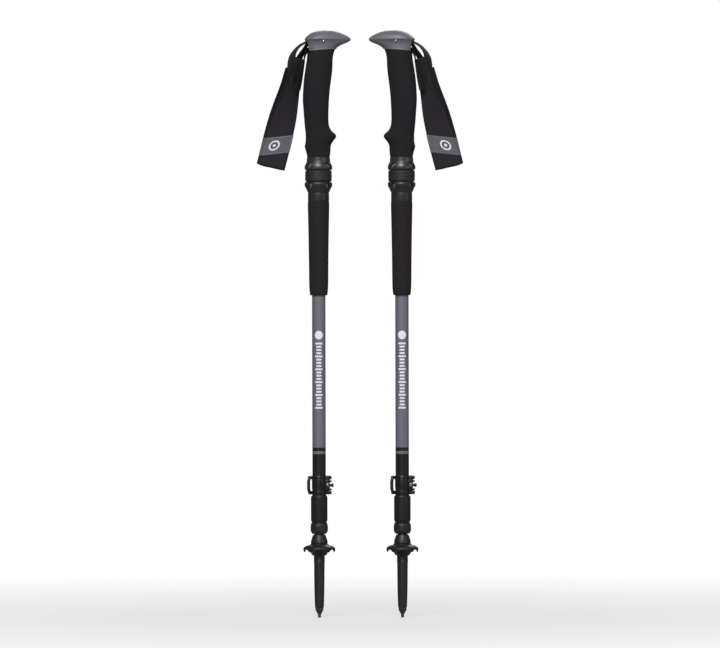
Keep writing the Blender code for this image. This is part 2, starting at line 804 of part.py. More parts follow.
def loop_place(share, side):
    """Centre, width direction and outward normal of one layer of the strap loop.

    share runs from 0 at the loop's top to 1 at its foot; side is +1 for the layer that ends up in front.
    """
    fall = (PAD_FOOT - PAD_TOP).normalized()
    across = Vector((-fall.z, 0, fall.x))
    twist = loop_twist(share)
    back = Vector((0, 1, 0))
    width = back * math.cos(twist) + across * math.sin(twist)
    normal = across * math.cos(twist) - back * math.sin(twist)
    gap = LOOP_GAP_TOP + (LOOP_GAP_FOOT - LOOP_GAP_TOP) * share
    centre = PAD_TOP.lerp(PAD_FOOT, share) + normal * side * gap / 2
    return centre, width, normal


def ribbon_section(centre, width, normal, size, thickness):
    corners = ((-1, -1), (1, -1), (1, 1), (-1, 1))
    return [centre + width * (u * size / 2) + normal * (v * thickness / 2) for u, v in corners]


def pad_section(centre, width, normal):
    return ribbon_section(centre, width, normal, PAD_WIDTH, PAD_THICKNESS)


def webbing_section(centre, width, normal):
    return ribbon_section(centre, width, normal, WEBBING_WIDTH, WEBBING_THICKNESS)


def fold_section(turn):
    """A section round the loop's foot, from the front layer (turn 0) to the back one (turn pi)."""
    fall = (PAD_FOOT - PAD_TOP).normalized()
    _, width, normal = loop_place(1, 1)
    outward = normal * math.cos(turn) + fall * math.sin(turn)
    return pad_section(PAD_FOOT + outward * LOOP_GAP_FOOT / 2, width, outward)


def add_strap_pad(pole):
    """The padded loop: down the front layer, round the foot, and up the back layer."""
    steps = 18
    shares = [PAD_START + (1 - PAD_START) * step / steps for step in range(steps + 1)]
    sections = []
    for share in shares:
        sections.append(pad_section(*loop_place(share, 1)))
    for step in range(1, 4):
        sections.append(fold_section(math.pi * step / 4))
    for share in reversed(shares):
        centre, width, normal = loop_place(share, -1)
        sections.append(pad_section(centre, width, -normal))
    add_piece(pole, "strap_pad", lofted(sections), pole.strap_hinge, mirrored=True)


def add_strap_band(pole):
    """The grey band sewn on the outside of the loop's front layer, low down."""
    outset = (PAD_THICKNESS + BAND_THICKNESS) / 2 + BAND_LIFT
    sections = []
    for share in BAND_SPAN:
        centre, width, normal = loop_place(share, 1)
        centre += normal * outset
        sections.append(ribbon_section(centre, width, normal, PAD_WIDTH, BAND_THICKNESS))
    add_piece(pole, "strap_band", lofted(sections), pole.strap_hinge, mirrored=True)


def strap_hinge_point():
    """The outer face of the loop's top, where it folds away from the webbing."""
    centre, _, normal = loop_place(PAD_START, -1)
    return centre - normal * PAD_THICKNESS / 2


def add_strap_webbing(pole):
    """One webbing strip: from the front layer's top, round the pin, and back to the other layer's top."""
    pin_x, pin_level = STRAP_PIN
    pin = Vector((pin_x, 0, pin_level))
    turn_radius = STRAP_PIN_RADIUS + GAP + WEBBING_THICKNESS / 2
    across = Vector((0, 1, 0))
    loop_end = PAD_START - 0.025
    outer_end, outer_width, outer_normal = loop_place(loop_end, -1)
    inner_exit = Vector((-13.0, 0, pin_level - 6.6))
    outer_exit = Vector((-16.5, 0, pin_level - 4.0))
    sections = [webbing_section(*loop_place(loop_end, 1))]
    sections.append(webbing_section(inner_exit, across, Vector((0.55, 0, -0.84))))
    steps = 6
    for step in range(steps + 1):
        turn = math.radians(-100 + 200 * step / steps)
        outward = Vector((math.cos(turn), 0, math.sin(turn)))
        sections.append(webbing_section(pin + outward * turn_radius, across, outward))
    sections.append(webbing_section(outer_exit, across, Vector((-0.45, 0, 0.89))))
    sections.append(webbing_section(outer_end, outer_width, -outer_normal))
    add_piece(pole, "strap_webbing", lofted(sections), mirrored=True)


def add_pole(pole):
    add_carbide_tip(pole)
    add_tip_holder(pole)
    add_flex_tip(pole)
    add_basket(pole)
    add_lower_tube(pole)
    add_lower_bushing(pole)
    add_lock_button(pole)
    add_middle_tube(pole)
    add_middle_bushing(pole)
    add_release_housing(pole)
    add_release_collar(pole)
    add_release_spring(pole)
    add_upper_tube(pole)
    add_lock_clamp(pole)
    add_lock_lever(pole)
    add_lever_pin(pole)
    add_tension_screw(pole)
    add_foam_extension(pole)
    add_lower_cup(pole)
    add_shock_elastomer(pole)
    add_shock_boot(pole)
    add_upper_cup(pole)
    add_stop_ring(pole)
    add_grip_core(pole)
    add_grip_foam(pole)
    add_knob(pole)
    add_strap_pin(pole)
    add_strap_webbing(pole)
    add_strap_pad(pole)
    add_strap_band(pole)


for leftover in list(bpy.data.objects):
    bpy.data.objects.remove(leftover, do_unlink=True)
add_pole(Pole("left", -POLE_SPACING / 2, 1))
add_pole(Pole("right", POLE_SPACING / 2, -1))
bpy.context.view_layer.update()
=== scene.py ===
"""The looks of a pair of collapsed trekking poles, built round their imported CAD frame.

Every shape is worked out about its own pole's axis, in millimetres, with the pole's beak towards +X; the
grip half of the right pole is mirrored. Levels and radii come from the boxes of the CAD nodes.
"""

import math

import bmesh
import bpy
from mathutils import Matrix, Vector, noise


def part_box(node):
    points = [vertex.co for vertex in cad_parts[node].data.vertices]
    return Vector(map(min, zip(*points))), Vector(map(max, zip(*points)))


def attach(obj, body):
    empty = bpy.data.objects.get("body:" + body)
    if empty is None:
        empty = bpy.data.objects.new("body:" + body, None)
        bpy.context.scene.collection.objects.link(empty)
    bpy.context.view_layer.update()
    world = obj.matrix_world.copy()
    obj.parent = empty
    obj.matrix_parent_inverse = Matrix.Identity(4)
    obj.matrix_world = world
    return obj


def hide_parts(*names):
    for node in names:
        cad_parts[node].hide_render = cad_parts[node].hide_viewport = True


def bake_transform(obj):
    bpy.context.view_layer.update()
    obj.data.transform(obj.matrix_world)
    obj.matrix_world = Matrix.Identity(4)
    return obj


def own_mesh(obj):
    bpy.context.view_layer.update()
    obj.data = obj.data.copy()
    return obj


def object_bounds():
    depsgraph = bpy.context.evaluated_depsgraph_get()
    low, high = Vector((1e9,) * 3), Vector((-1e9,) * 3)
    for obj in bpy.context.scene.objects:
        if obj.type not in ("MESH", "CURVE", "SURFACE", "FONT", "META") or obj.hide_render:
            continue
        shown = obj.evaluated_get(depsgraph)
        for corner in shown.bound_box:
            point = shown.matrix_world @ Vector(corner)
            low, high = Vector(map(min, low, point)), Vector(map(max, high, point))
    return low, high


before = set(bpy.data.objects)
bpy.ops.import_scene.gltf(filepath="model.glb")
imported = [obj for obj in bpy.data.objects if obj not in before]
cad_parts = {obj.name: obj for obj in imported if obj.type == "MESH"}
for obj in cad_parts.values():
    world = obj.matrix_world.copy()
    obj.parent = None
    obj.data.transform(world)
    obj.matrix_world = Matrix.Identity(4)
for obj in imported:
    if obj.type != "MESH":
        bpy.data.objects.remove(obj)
cad_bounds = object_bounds()

MM = 0.001
SIDES = 72
FINE_SIDES = 96
SMALL_SIDES = 32
FRONT = -math.pi / 2
TUBE_WALL = 0.7
BORE_GAP = 0.3
FINISH = 0.35  # how far outer surfaces stand off the CAD
PRINT_LIFT = 0.06

# Basket and lower joint
LOBES = 6
HOUSING_STEP = 1.96  # from the housing's outside in to its neck
BUTTON_RISE = 7.3  # of the snap button over the collar's foot
COLLAR_POCKET = 9.5

# Lock lever: a frame bent round the tube
ARM_RADIUS = 13.1
ARM_THICKNESS = 4.0
ARM_HEIGHT = 4.4
ARM_TURNS = (math.radians(42), math.radians(181))
ARM_BOW = (1.3, 1.0)  # how far the lower and the upper arm run inside that radius
CORNER_RADIUS = 3.6

# Knob: how much its skirt rises for each millimetre towards the beak
SKIRT_TILT = 0.08

# Strap loop: half its section from the middle to the bound edge, as (across, up)
PAD_PROFILE = (
    (0.0, 1.5), (3.0, 1.48), (6.0, 1.42), (9.0, 1.3), (11.6, 1.14), (13.6, 0.98), (14.8, 0.72),
    (15.4, 0.62), (15.9, 0.86), (16.5, 1.2), (17.1, 1.22), (17.6, 0.9), (17.9, 0.0),
)
LOOP_TWIST = (  # share of the loop's length, degrees
    (0.0, 22.5), (0.1, 24.0), (0.2, 26.3), (0.3, 29.5), (0.4, 38.0), (0.5, 49.0), (0.6, 60.5), (0.8, 78.0),
    (1.0, 88.0),
)
LOOP_GAP = (6.0, 5.0)  # between the layers' middles, at the top and at the foot
LOOP_BOW = 0.4
CORNER_PULL = (1.1, 0.4)  # how far the foot's two corners are drawn up
CRUMPLES = ((16, 22, 3.7, 0.9), (6, 9, 8.1, 0.25))  # size across, size along, seed, height
SEAM_ACROSS = 15.2
STITCH_PITCH = 3.2

# Grey band across the loop, between two shares of its length
BAND_SHARES = (0.751, 0.906)
BAND_SLANT = -0.36
BAND_LIFT = 0.3
BAND_TOP = 0.36  # level of its own thread and print
MARK_ACROSS = -2.7


class Pole:
    """One pole: its name, the side its beak points to, and where its axis stands."""

    def __init__(self, name, facing):
        self.name = name
        self.facing = facing
        self.x = 0.0
        self.x = self.centre("carbide_tip").x

    def node(self, part):
        return f"{self.name}_{part}"

    def corners(self, part):
        """Lowest and highest corner of a CAD node, in millimetres from the pole's axis."""
        return [corner / MM - Vector((self.x, 0, 0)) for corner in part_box(self.node(part))]

    def centre(self, part):
        low, high = self.corners(part)
        return (low + high) / 2

    def radius(self, part):
        """Radius of a round CAD node, which is half its depth."""
        low, high = self.corners(part)
        return (high.y - low.y) / 2

    def bottom(self, part):
        return self.corners(part)[0].z

    def top(self, part):
        return self.corners(part)[1].z

    def turned_size(self, part):
        return self.radius(part), self.bottom(part), self.top(part)

    def world(self, point):
        """A point of the mirrored grip half, in the frame's own metres."""
        return Vector((point[0] * self.facing + self.x, point[1], point[2])) * MM


# Shapes


def circle(radius, level, sides=SIDES):
    turns = [2 * math.pi * index / sides for index in range(sides)]
    return [Vector((radius * math.cos(turn), radius * math.sin(turn), level)) for turn in turns]


def heading(turn):
    return Vector((math.cos(turn), math.sin(turn), 0))


def eased(outline, reach, closed=False, steps=4):
    """Rounds the corners of an outline, each by at most the given reach along its sides."""
    points = [Vector(point) for point in outline]
    smooth = []
    for index, corner in enumerate(points):
        if not closed and index in (0, len(points) - 1):
            smooth.append(corner)
            continue
        before = points[index - 1]
        after = points[(index + 1) % len(points)]
        start = corner + (before - corner) * min(reach / (before - corner).length, 0.45)
        end = corner + (after - corner) * min(reach / (after - corner).length, 0.45)
        for step in range(steps + 1):
            t = step / steps
            smooth.append(start * (1 - t) ** 2 + corner * 2 * t * (1 - t) + end * t ** 2)
    return smooth


def smooth_rows(rows, steps):
    """Runs a smooth curve through rows of numbers, with a few steps between each pair."""
    rows = [Vector(row) for row in rows]
    padded = [rows[0] * 2 - rows[1], *rows, rows[-1] * 2 - rows[-2]]
    smooth = []
    for before, start, end, after in zip(padded, padded[1:], padded[2:], padded[3:]):
        for step in range(steps):
            t = step / steps
            line = start * 2 + (end - before) * t
            bend = (before * 2 - start * 5 + end * 4 - after) * t ** 2
            twist = (start * 3 - before - end * 3 + after) * t ** 3
            smooth.append((line + bend + twist) / 2)
    smooth.append(rows[-1])
    return smooth


def raised(level, *points):
    """Outline points whose heights are counted from a level."""
    return [(reach, level + height) for reach, height in points]


def turned(outline, easing=0.0, sides=SIDES, steps=4):
    """Turns (radius, level) points about Z: a solid if they start and end on the axis, else a hollow ring."""
    hollow = outline[0][0] > 0
    if easing > 0:
        outline = eased(outline, easing, hollow, steps)
    shape = bmesh.new()
    rings = []
    for radius, level in outline:
        if radius == 0:
            rings.append([shape.verts.new((0, 0, level))] * sides)
        else:
            rings.append([shape.verts.new(point) for point in circle(radius, level, sides)])
    if hollow:
        rings.append(rings[0])
    skin(shape, rings)
    return shape


def skin(shape, rings):
    """Joins rings of corners, leaving out the corners that two neighbours share."""
    for low, high in zip(rings, rings[1:]):
        for index, corner in enumerate(low):
            following = (index + 1) % len(low)
            corners = dict.fromkeys((corner, low[following], high[following], high[index]))
            shape.faces.new(list(corners))


def lofted(sections):
    """Skins a run of equal point loops and closes both ends flat."""
    shape = bmesh.new()
    rings = [[shape.verts.new(point) for point in section] for section in sections]
    skin(shape, rings)
    shape.faces.new(rings[0])
    shape.faces.new(rings[-1])
    return shape


def cylinder(radius, bottom, top, sides=SMALL_SIDES):
    return lofted([circle(radius, bottom, sides), circle(radius, top, sides)])


def rounded_block(low, high, radius=0.0):
    """An upright box between two corners, with its edges rounded if a radius is given."""
    shape = bmesh.new()
    bmesh.ops.create_cube(shape, size=1.0)
    low, high = Vector(low), Vector(high)
    bmesh.ops.scale(shape, vec=high - low, verts=shape.verts)
    bmesh.ops.translate(shape, vec=(low + high) / 2, verts=shape.verts)
    if radius > 0:
        edges = shape.edges[:]
        bmesh.ops.bevel(shape, geom=edges, offset=radius, segments=3, profile=0.5, affect="EDGES")
    return shape


def along(shape, direction, place):
    """Turns a shape built up Z to run in a direction from a place."""
    turn = Vector((0, 0, 1)).rotation_difference(Vector(direction)).to_matrix().to_4x4()
    shape.transform(Matrix.Translation(place) @ turn)
    return shape


def joined(*shapes, coordinates=None):
    """One shape that holds several closed shells, with their map of coordinates if one is named."""
    whole = bmesh.new()
    if coordinates:
        whole.loops.layers.uv.new(coordinates)
    for shape in shapes:
        mesh = bpy.data.meshes.new("shell")
        shape.to_mesh(mesh)
        whole.from_mesh(mesh)
        bpy.data.meshes.remove(mesh)
        shape.free()
    return whole


def rippled(radius, bottom, top, count, depth):
    """Points of a wall that runs up in even round ribs."""
    steps = 6
    total = count * steps
    points = []
    for step in range(total + 1):
        wave = (1 - math.cos(2 * math.pi * step / steps)) / 2
        points.append((radius - depth + depth * wave, bottom + (top - bottom) * step / total))
    return points


def fluted(shape, bottom, top, count, depth):
    """Presses upright flutes into the part of a turned shape between two levels."""
    for vert in shape.verts:
        if bottom <= vert.co.z <= top:
            turn = math.atan2(vert.co.y, vert.co.x)
            radius = math.hypot(vert.co.x, vert.co.y)
            share = 1 - depth / radius * (1 + math.cos(count * turn)) / 2
            vert.co.x *= share
            vert.co.y *= share
    return shape


def to_mesh(name, shape):
    bmesh.ops.recalc_face_normals(shape, faces=shape.faces[:])
    shape.transform(Matrix.Scale(MM, 4))
    mesh = bpy.data.meshes.new(name)
    shape.to_mesh(mesh)
    shape.free()
    return mesh


def soften_shading(mesh):
    mesh.shade_smooth()
    mesh.set_sharp_from_angle(angle=math.radians(38))


def make_piece(pole, label, look, shape, cuts=(), mirrored=False):
    """Makes a piece from a shape about the pole's axis, with its look, and carves the cuts out of it."""
    place = Matrix.Translation((pole.x, 0, 0))
    if mirrored:
        place = place @ Matrix.Diagonal((pole.facing, 1, 1, 1))
    shape.transform(place)
    name = f"{pole.name}_fine_{label}"
    piece = bpy.data.objects.new(name, to_mesh(name, shape))
    bpy.context.collection.objects.link(piece)
    piece.data.materials.append(LOOKS[look])
    for cut in cuts:
        cut.transform(place)
        carve(piece, cut)
    soften_shading(piece.data)
    return piece


def add_piece(pole, body, part, shape, cuts=(), mirrored=False):
    """Adds the piece that takes a CAD node's place on one of the pole's bodies."""
    piece = make_piece(pole, part, part, shape, cuts, mirrored)
    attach(piece, f"{pole.name}_{body}")
    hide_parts(pole.node(part))
    return piece


def add_detail(pole, body, label, look, shape, mirrored=False):
    """Adds print or thread that lies on a piece."""
    detail = make_piece(pole, label, look, shape, mirrored=mirrored)
    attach(detail, f"{pole.name}_{body}")
    return detail


def squash(piece):
    """Gives a piece its own copy of its mesh; nothing squashes it as the pole's slides travel."""
    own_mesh(piece)


def carve(piece, shape):
    """Cuts a shape out of a piece and keeps the result as the piece's own mesh."""
    cutter = bpy.data.objects.new("cutter", to_mesh("cutter", shape))
    bpy.context.collection.objects.link(cutter)
    modifier = piece.modifiers.new("Cut", "BOOLEAN")
    modifier.object = cutter
    bpy.context.view_layer.update()
    evaluated = piece.evaluated_get(bpy.context.evaluated_depsgraph_get())
    carved = bpy.data.meshes.new_from_object(evaluated)
    piece.modifiers.clear()
    piece.data = carved
    bpy.data.objects.remove(cutter)


# Materials

# How a pattern is stretched: alike every way, or drawn out up the pole
EVEN = (1.0, 1.0, 1.0)
UPRIGHT = (1.0, 1.0, 0.06)


def linear(channel):
    """Linear value of an sRGB channel given in 0 to 255."""
    share = channel / 255
    return share / 12.92 if share <= 0.04045 else ((share + 0.055) / 1.055) ** 2.4


def scaled(colour, factor):
    return (*[min(channel * factor, 1.0) for channel in colour], 1.0)


class Look:
    """A Principled material and the nodes that give it its detail."""

    def __init__(self, name, roughness, metallic=0.0, specular=0.3):
        self.material = bpy.data.materials.new(name)
        self.material.use_nodes = True
        self.tree = self.material.node_tree
        self.shader = self.tree.nodes["Principled BSDF"]
        self.roughness = roughness
        self.shader.inputs["Metallic"].default_value = metallic
        self.shader.inputs["Specular IOR Level"].default_value = specular

    def node(self, kind, inputs=None, **settings):
        """Adds a node; an input takes a number, a colour or another node's output."""
        made = self.tree.nodes.new(kind)
        for key, value in settings.items():
            setattr(made, key, value)
        for key, value in (inputs or {}).items():
            if isinstance(value, bpy.types.NodeSocket):
                self.tree.links.new(value, made.inputs[key])
            else:
                made.inputs[key].default_value = value
        return made

    def place(self, stretch=EVEN):
        """Object coordinates, stretched."""
        source = self.node("ShaderNodeTexCoord").outputs["Object"]
        mapping = self.node("ShaderNodeMapping", {"Vector": source, "Scale": stretch})
        return mapping.outputs["Vector"]

    def noise(self, scale, detail=3.0, stretch=EVEN):
        inputs = {"Vector": self.place(stretch), "Scale": scale, "Detail": detail}
        return self.node("ShaderNodeTexNoise", inputs).outputs["Fac"]

    def mix(self, factor, low, high):
        """A colour between two others."""
        return self.node("ShaderNodeMix", {0: factor, 6: low, 7: high}, data_type="RGBA").outputs[2]

    def spread(self, value, low, high, start=0.3, end=0.7):
        """Carries a value from one range to another."""
        inputs = {"Value": value, "From Min": start, "From Max": end, "To Min": low, "To Max": high}
        return self.node("ShaderNodeMapRange", inputs).outputs["Result"]

    def maths(self, operation, first, second=0.0):
        return self.node("ShaderNodeMath", {0: first, 1: second}, operation=operation).outputs[0]

    def paint(self, colour):
        """Colours the surface, with painted shade that darkens it where it turns away from the eye."""
        facing = self.node("ShaderNodeLayerWeight", {"Blend": 0.5}).outputs["Facing"]
        # painted shade: the colour is scaled down to 0.45 towards the silhouette, wherever the surface turns
        # edge-on to the eye
        shade = self.spread(facing, 1.0, 0.45, 0.6, 1.0)
        shaded = self.node("ShaderNodeVectorMath", {0: colour, "Scale": shade}, operation="SCALE")
        self.tree.links.new(shaded.outputs["Vector"], self.shader.inputs["Base Color"])

    def emboss(self, height, depth):
        """Raises the surface by a height pattern, whose full swing is depth in millimetres."""
        bump = self.node("ShaderNodeBump", {"Height": height, "Distance": depth * MM, "Strength": 1.0})
        previous = self.shader.inputs["Normal"]
        if previous.is_linked:
            self.tree.links.new(previous.links[0].from_socket, bump.inputs["Normal"])
        self.tree.links.new(bump.outputs["Normal"], previous)

    def finish(self, patches):
        """Lets the roughness follow the patches."""
        roughness = self.spread(patches, self.roughness * 0.92, min(self.roughness * 1.08, 1.0))
        self.tree.links.new(roughness, self.shader.inputs["Roughness"])
        return self.material

    def worn(self, colour, bright, amount=0.6):
        """A colour that brightens along the outer edges, where hands and trails rub it."""
        edges = self.node("ShaderNodeNewGeometry").outputs["Pointiness"]
        rubbed = self.spread(edges, 0.0, amount, 0.53, 0.62)
        broken = self.maths("MULTIPLY", rubbed, self.noise(700.0, 4.0))
        return self.mix(broken, colour, bright)


def moulded(name, colour, roughness, specular=0.3, grain=0.03, mottle=0.08):
    """Moulded plastic or rubber: faint cloudy patches, a fine spark-eroded grain, and rubbed edges."""
    look = Look(name, roughness, specular=specular)
    patches = look.noise(90.0)
    base = look.mix(patches, scaled(colour, 1 - mottle), scaled(colour, 1 + mottle))
    look.paint(look.worn(base, scaled(colour, 1.9)))
    look.emboss(look.noise(2600.0, 5.0), grain)
    look.emboss(patches, 0.015)
    return look.finish(patches)


def foam(name, colour):
    """Closed-cell foam: round pores of mixed sizes over soft cloudy patches."""
    look = Look(name, 0.92, specular=0.08)
    patches = look.noise(60.0, 4.0)
    pores = look.node("ShaderNodeTexVoronoi", {"Vector": look.place(), "Scale": 1500.0}).outputs["Distance"]
    cells = look.spread(pores, 0.0, 1.0, 0.05, 0.6)
    dusty = look.mix(patches, scaled(colour, 0.88), scaled(colour, 1.14))
    look.paint(look.mix(cells, scaled(colour, 0.72), dusty))
    look.emboss(cells, 0.12)
    look.emboss(look.noise(420.0, 6.0), 0.1)
    look.shader.inputs["Sheen Weight"].default_value = 0.02
    return look.finish(patches)


def woven(name, colour, thread, contrast, depth, diagonal=0.0):
    """Cloth whose threads follow the strip's own length and width, with a millimetre as its unit."""
    look = Look(name, 0.85, specular=0.08)
    strip = look.node("ShaderNodeUVMap", uv_map="strip").outputs["UV"]
    parts = look.node("ShaderNodeSeparateXYZ", {0: strip})
    across = parts.outputs["X"]
    lengthwise = look.maths("ADD", parts.outputs["Y"], look.maths("MULTIPLY", across, diagonal))
    turns = math.pi / thread
    warp = look.maths("SINE", look.maths("MULTIPLY", across, turns))
    weft = look.maths("SINE", look.maths("MULTIPLY", lengthwise, turns))
    crossing = look.spread(look.maths("MULTIPLY", warp, weft), 0.0, 1.0, -1.0, 1.0)
    patches = look.noise(130.0, 5.0)
    cloudy = look.mix(patches, scaled(colour, 0.86), scaled(colour, 1.16))
    look.paint(look.mix(crossing, scaled(colour, 1 - contrast), cloudy))
    look.emboss(crossing, depth)
    look.emboss(look.noise(1800.0, 4.0), 0.05)
    look.shader.inputs["Sheen Weight"].default_value = 0.05
    look.shader.inputs["Sheen Roughness"].default_value = 0.6
    return look.finish(patches)


def metal(name, colour, roughness, metallic=1.0, stretch=EVEN, lines=0.02, specular=0.5, wear=1.5):
    """Bare or anodised metal with fine tool lines."""
    look = Look(name, roughness, metallic, specular)
    patches = look.noise(140.0, 4.0, stretch)
    base = look.mix(patches, scaled(colour, 0.92), scaled(colour, 1.08))
    look.paint(look.worn(base, scaled(colour, wear)))
    look.emboss(look.noise(3200.0, 3.0, stretch), lines)
    return look.finish(patches)


def ink(name, colour):
    """Screen-printed ink, a little broken up."""
    look = Look(name, 0.5, specular=0.3)
    patches = look.noise(900.0, 5.0)
    look.paint(look.mix(look.spread(patches, 0.0, 1.0, 0.25, 0.4), scaled(colour, 0.7), scaled(colour, 1.0)))
    look.emboss(patches, 0.02)
    return look.finish(patches)


def elastomer(name, colour):
    """Translucent-looking urethane rubber with darker streaks of dirt."""
    look = Look(name, 0.5, specular=0.4)
    streaks = look.noise(240.0, 5.0, (1, 1, 2.5))
    look.paint(look.mix(look.spread(streaks, 0.0, 1.0), scaled(colour, 0.6), scaled(colour, 1.15)))
    look.emboss(streaks, 0.1)
    return look.finish(streaks)


def looks(make, recipes):
    """The materials of one kind: each recipe is an sRGB colour and the maker's other numbers."""
    made = {}
    for name, (rgb, *numbers) in recipes.items():
        made[name] = make(name, tuple(linear(channel) for channel in rgb), *numbers)
    return made


LOOKS = {
    **looks(moulded, {  # colour, roughness, specular, grain, mottle
        "knob": ((105, 102, 110), 0.44, 0.5, 0.04, 0.05),
        "grip_core": ((62, 60, 62), 0.5),
        "strap_thread": ((60, 58, 66), 0.8, 0.1),
        "band_thread": ((150, 148, 158), 0.8, 0.1),
        "upper_cup": ((44, 42, 46), 0.38, 0.7, 0.02),
        "shock_boot": ((40, 38, 43), 0.55, 0.35, 0.04),
        "lower_cup": ((40, 38, 42), 0.42, 0.4, 0.02),
        "stop_ring": ((70, 70, 70), 0.45),
        "lock_clamp": ((22, 21, 24), 0.36, 0.4, 0.03),
        "middle_bushing": ((130, 130, 130), 0.5),
        "release_housing": ((29, 27, 31), 0.44, 0.3, 0.03),
        "release_collar": ((34, 32, 36), 0.46, 0.4, 0.04),
        "lower_bushing": ((130, 130, 130), 0.5),
        "flex_tip": ((33, 30, 35), 0.42, 0.45, 0.04),
        "basket": ((34, 32, 36), 0.46, 0.25, 0.04),
    }),
    **looks(metal, {  # colour, roughness, metallic, grain direction, line depth, specular, edge wear
        "strap_pin": ((196, 194, 190), 0.3),
        "upper_tube": ((114, 112, 126), 0.5, 0.15, UPRIGHT, 0.015, 0.35, 1.2),
        "tube_black": ((38, 36, 41), 0.36, 0.3, UPRIGHT, 0.015, 0.35, 1.6),
        "lock_lever": ((34, 33, 37), 0.36, 0.3, EVEN, 0.02, 0.5, 4.0),
        "lever_pin": ((52, 51, 54), 0.35, 0.8),
        "tension_screw": ((132, 132, 134), 0.42),
        "middle_tube": ((38, 37, 42), 0.36, 0.35, UPRIGHT, 0.015, 0.35, 1.6),
        "release_spring": ((190, 190, 192), 0.3),
        "lower_tube": ((38, 37, 42), 0.36, 0.35, UPRIGHT, 0.015, 0.35, 1.6),
        "lock_button": ((190, 190, 192), 0.3),
        "tip_holder": ((76, 74, 79), 0.4, 0.9),
        "carbide_tip": ((92, 90, 94), 0.4, 0.9),
    }),
    **looks(woven, {  # colour, thread width, contrast, depth, slant of the threads
        "strap_webbing": ((30, 29, 31), 0.7, 0.4, 0.2),
        "strap_pad": ((47, 44, 51), 0.5, 0.3, 0.1, 0.6),
        "strap_edge": ((33, 31, 36), 0.6, 0.4, 0.15),
        "strap_band": ((104, 102, 114), 0.55, 0.2, 0.1),
    }),
    **looks(foam, {"grip_foam": ((39, 37, 40),), "foam_extension": ((44, 40, 43),)}),
    **looks(ink, {"strap_mark": ((236, 236, 240),), "tube_print": ((236, 236, 240),)}),
    **looks(elastomer, {"shock_elastomer": ((142, 112, 99),)}),
}


# Tip, basket and lower section


def add_carbide_tip(pole):
    """A hollow-ground tip: a sharp rim round a shallow cup."""
    radius, bottom, top = pole.turned_size("carbide_tip")
    radius += FINISH
    outline = raised(bottom, (0, 0.7), (radius * 0.5, 0.5), (radius * 0.86, 0), (radius, 1.0))
    outline += [(radius, top), (0, top)]
    add_piece(pole, "lower", "carbide_tip", turned(outline, 0.25, SMALL_SIDES))


def add_tip_holder(pole):
    """The steel seat of the tip, with a knurled ring against the plastic."""
    radius, bottom, top = pole.turned_size("tip_holder")
    radius += FINISH + 0.1
    ring_top = pole.bottom("flex_tip") - BORE_GAP
    ring_bottom = ring_top - 2.6
    bore = pole.radius("carbide_tip") + FINISH + 0.1
    outline = raised(bottom, (bore, 3.0), (bore, 0), (bore + 0.5, 0), (radius * 0.68, 2.2))
    outline += [(radius * 0.86, ring_bottom - 0.4), (radius, ring_bottom), (radius, ring_top)]
    outline += [(radius * 0.5, ring_top), (radius * 0.5, top), (bore, top)]
    knurled = fluted(turned(outline, 0.3), ring_bottom - 0.2, ring_top + 0.1, 18, 0.35)
    add_piece(pole, "lower", "tip_holder", knurled)


def add_flex_tip(pole):
    """The tapered stem, a short thread under the basket, and the cone that the lower tube sits in."""
    ferrule, bottom, top = pole.turned_size("flex_tip")
    _, basket_bottom, basket_top = pole.turned_size("basket")
    tube_radius, tube_bottom, _ = pole.turned_size("lower_tube")
    stem_bore = 2.8
    tube_bore = tube_radius + BORE_GAP
    tube_seat = tube_bottom - BORE_GAP
    thread_top = basket_bottom - 0.6
    thread_bottom = thread_top - 8.4
    outline = raised(bottom, (stem_bore, 0), (5.2, 0), (5.6, 2.0), (5.9, 10.0), (6.25, 22.0), (6.45, 36.0))
    outline.append((6.6, thread_bottom - 3.0))
    outline += rippled(7.0, thread_bottom, thread_top, 5, 0.34)
    outline.append((7.5, basket_bottom + 0.4))
    outline += raised(basket_top, (7.5, BORE_GAP), (ferrule + 0.5, BORE_GAP), (ferrule + 0.5, 1.2),
                      (ferrule + 0.8, 1.7), (ferrule + 0.55, 2.6), (ferrule + 0.1, 4.9), (ferrule - 0.6, 7.0),
                      (8.5, 9.5))
    outline += raised(top, (7.7, -1.2), (7.4, -0.5), (tube_bore, -0.5))
    outline += [(tube_bore, tube_seat), (stem_bore, tube_seat)]
    add_piece(pole, "lower", "flex_tip", turned(outline, 0.35, steps=3))


def add_basket(pole):
    """An umbrella-shaped basket: a stepped hub, ribs underneath, and a rim that hooks down at six lobes."""
    radius, bottom, top = pole.turned_size("basket")
    radius += FINISH
    bore = 7.9
    outline = raised(bottom, (bore, 0), (8.7, 0), (9.6, 1.4), (10.3, 2.8), (10.9, 4.0), (12.6, 4.9),
                     (14.4, 6.4), (16.2, 7.8), (17.2, 7.4), (17.8, 6.0), (18.1, 4.2), (19.2, 4.3),
                     (radius, 7.2), (radius - 0.2, 8.8), (18.9, 10.1), (17.4, 11.3), (15.4, 12.3),
                     (12.4, 12.9), (11.6, 13.5))
    shape = turned([*outline, (11.2, top), (bore, top)], 0.5, FINE_SIDES, steps=3)
    for vert in shape.verts:
        shape_lobe(vert, radius, bottom + 8.0)
    ribs = []
    for index in range(LOBES):
        rib = rounded_block((9.5, -0.6, bottom + 3.0), (17.6, 0.6, bottom + 9.5), 0.3)
        rib.transform(Matrix.Rotation(2 * math.pi * (index + 0.5) / LOBES, 4, "Z"))
        for vert in rib.verts:
            reach = math.hypot(vert.co.x, vert.co.y)
            vert.co.z = max(vert.co.z, bottom + 3.6 + max(reach - 11.0, 0) * 0.65)
        ribs.append(rib)
    add_piece(pole, "lower", "basket", joined(shape, *ribs))


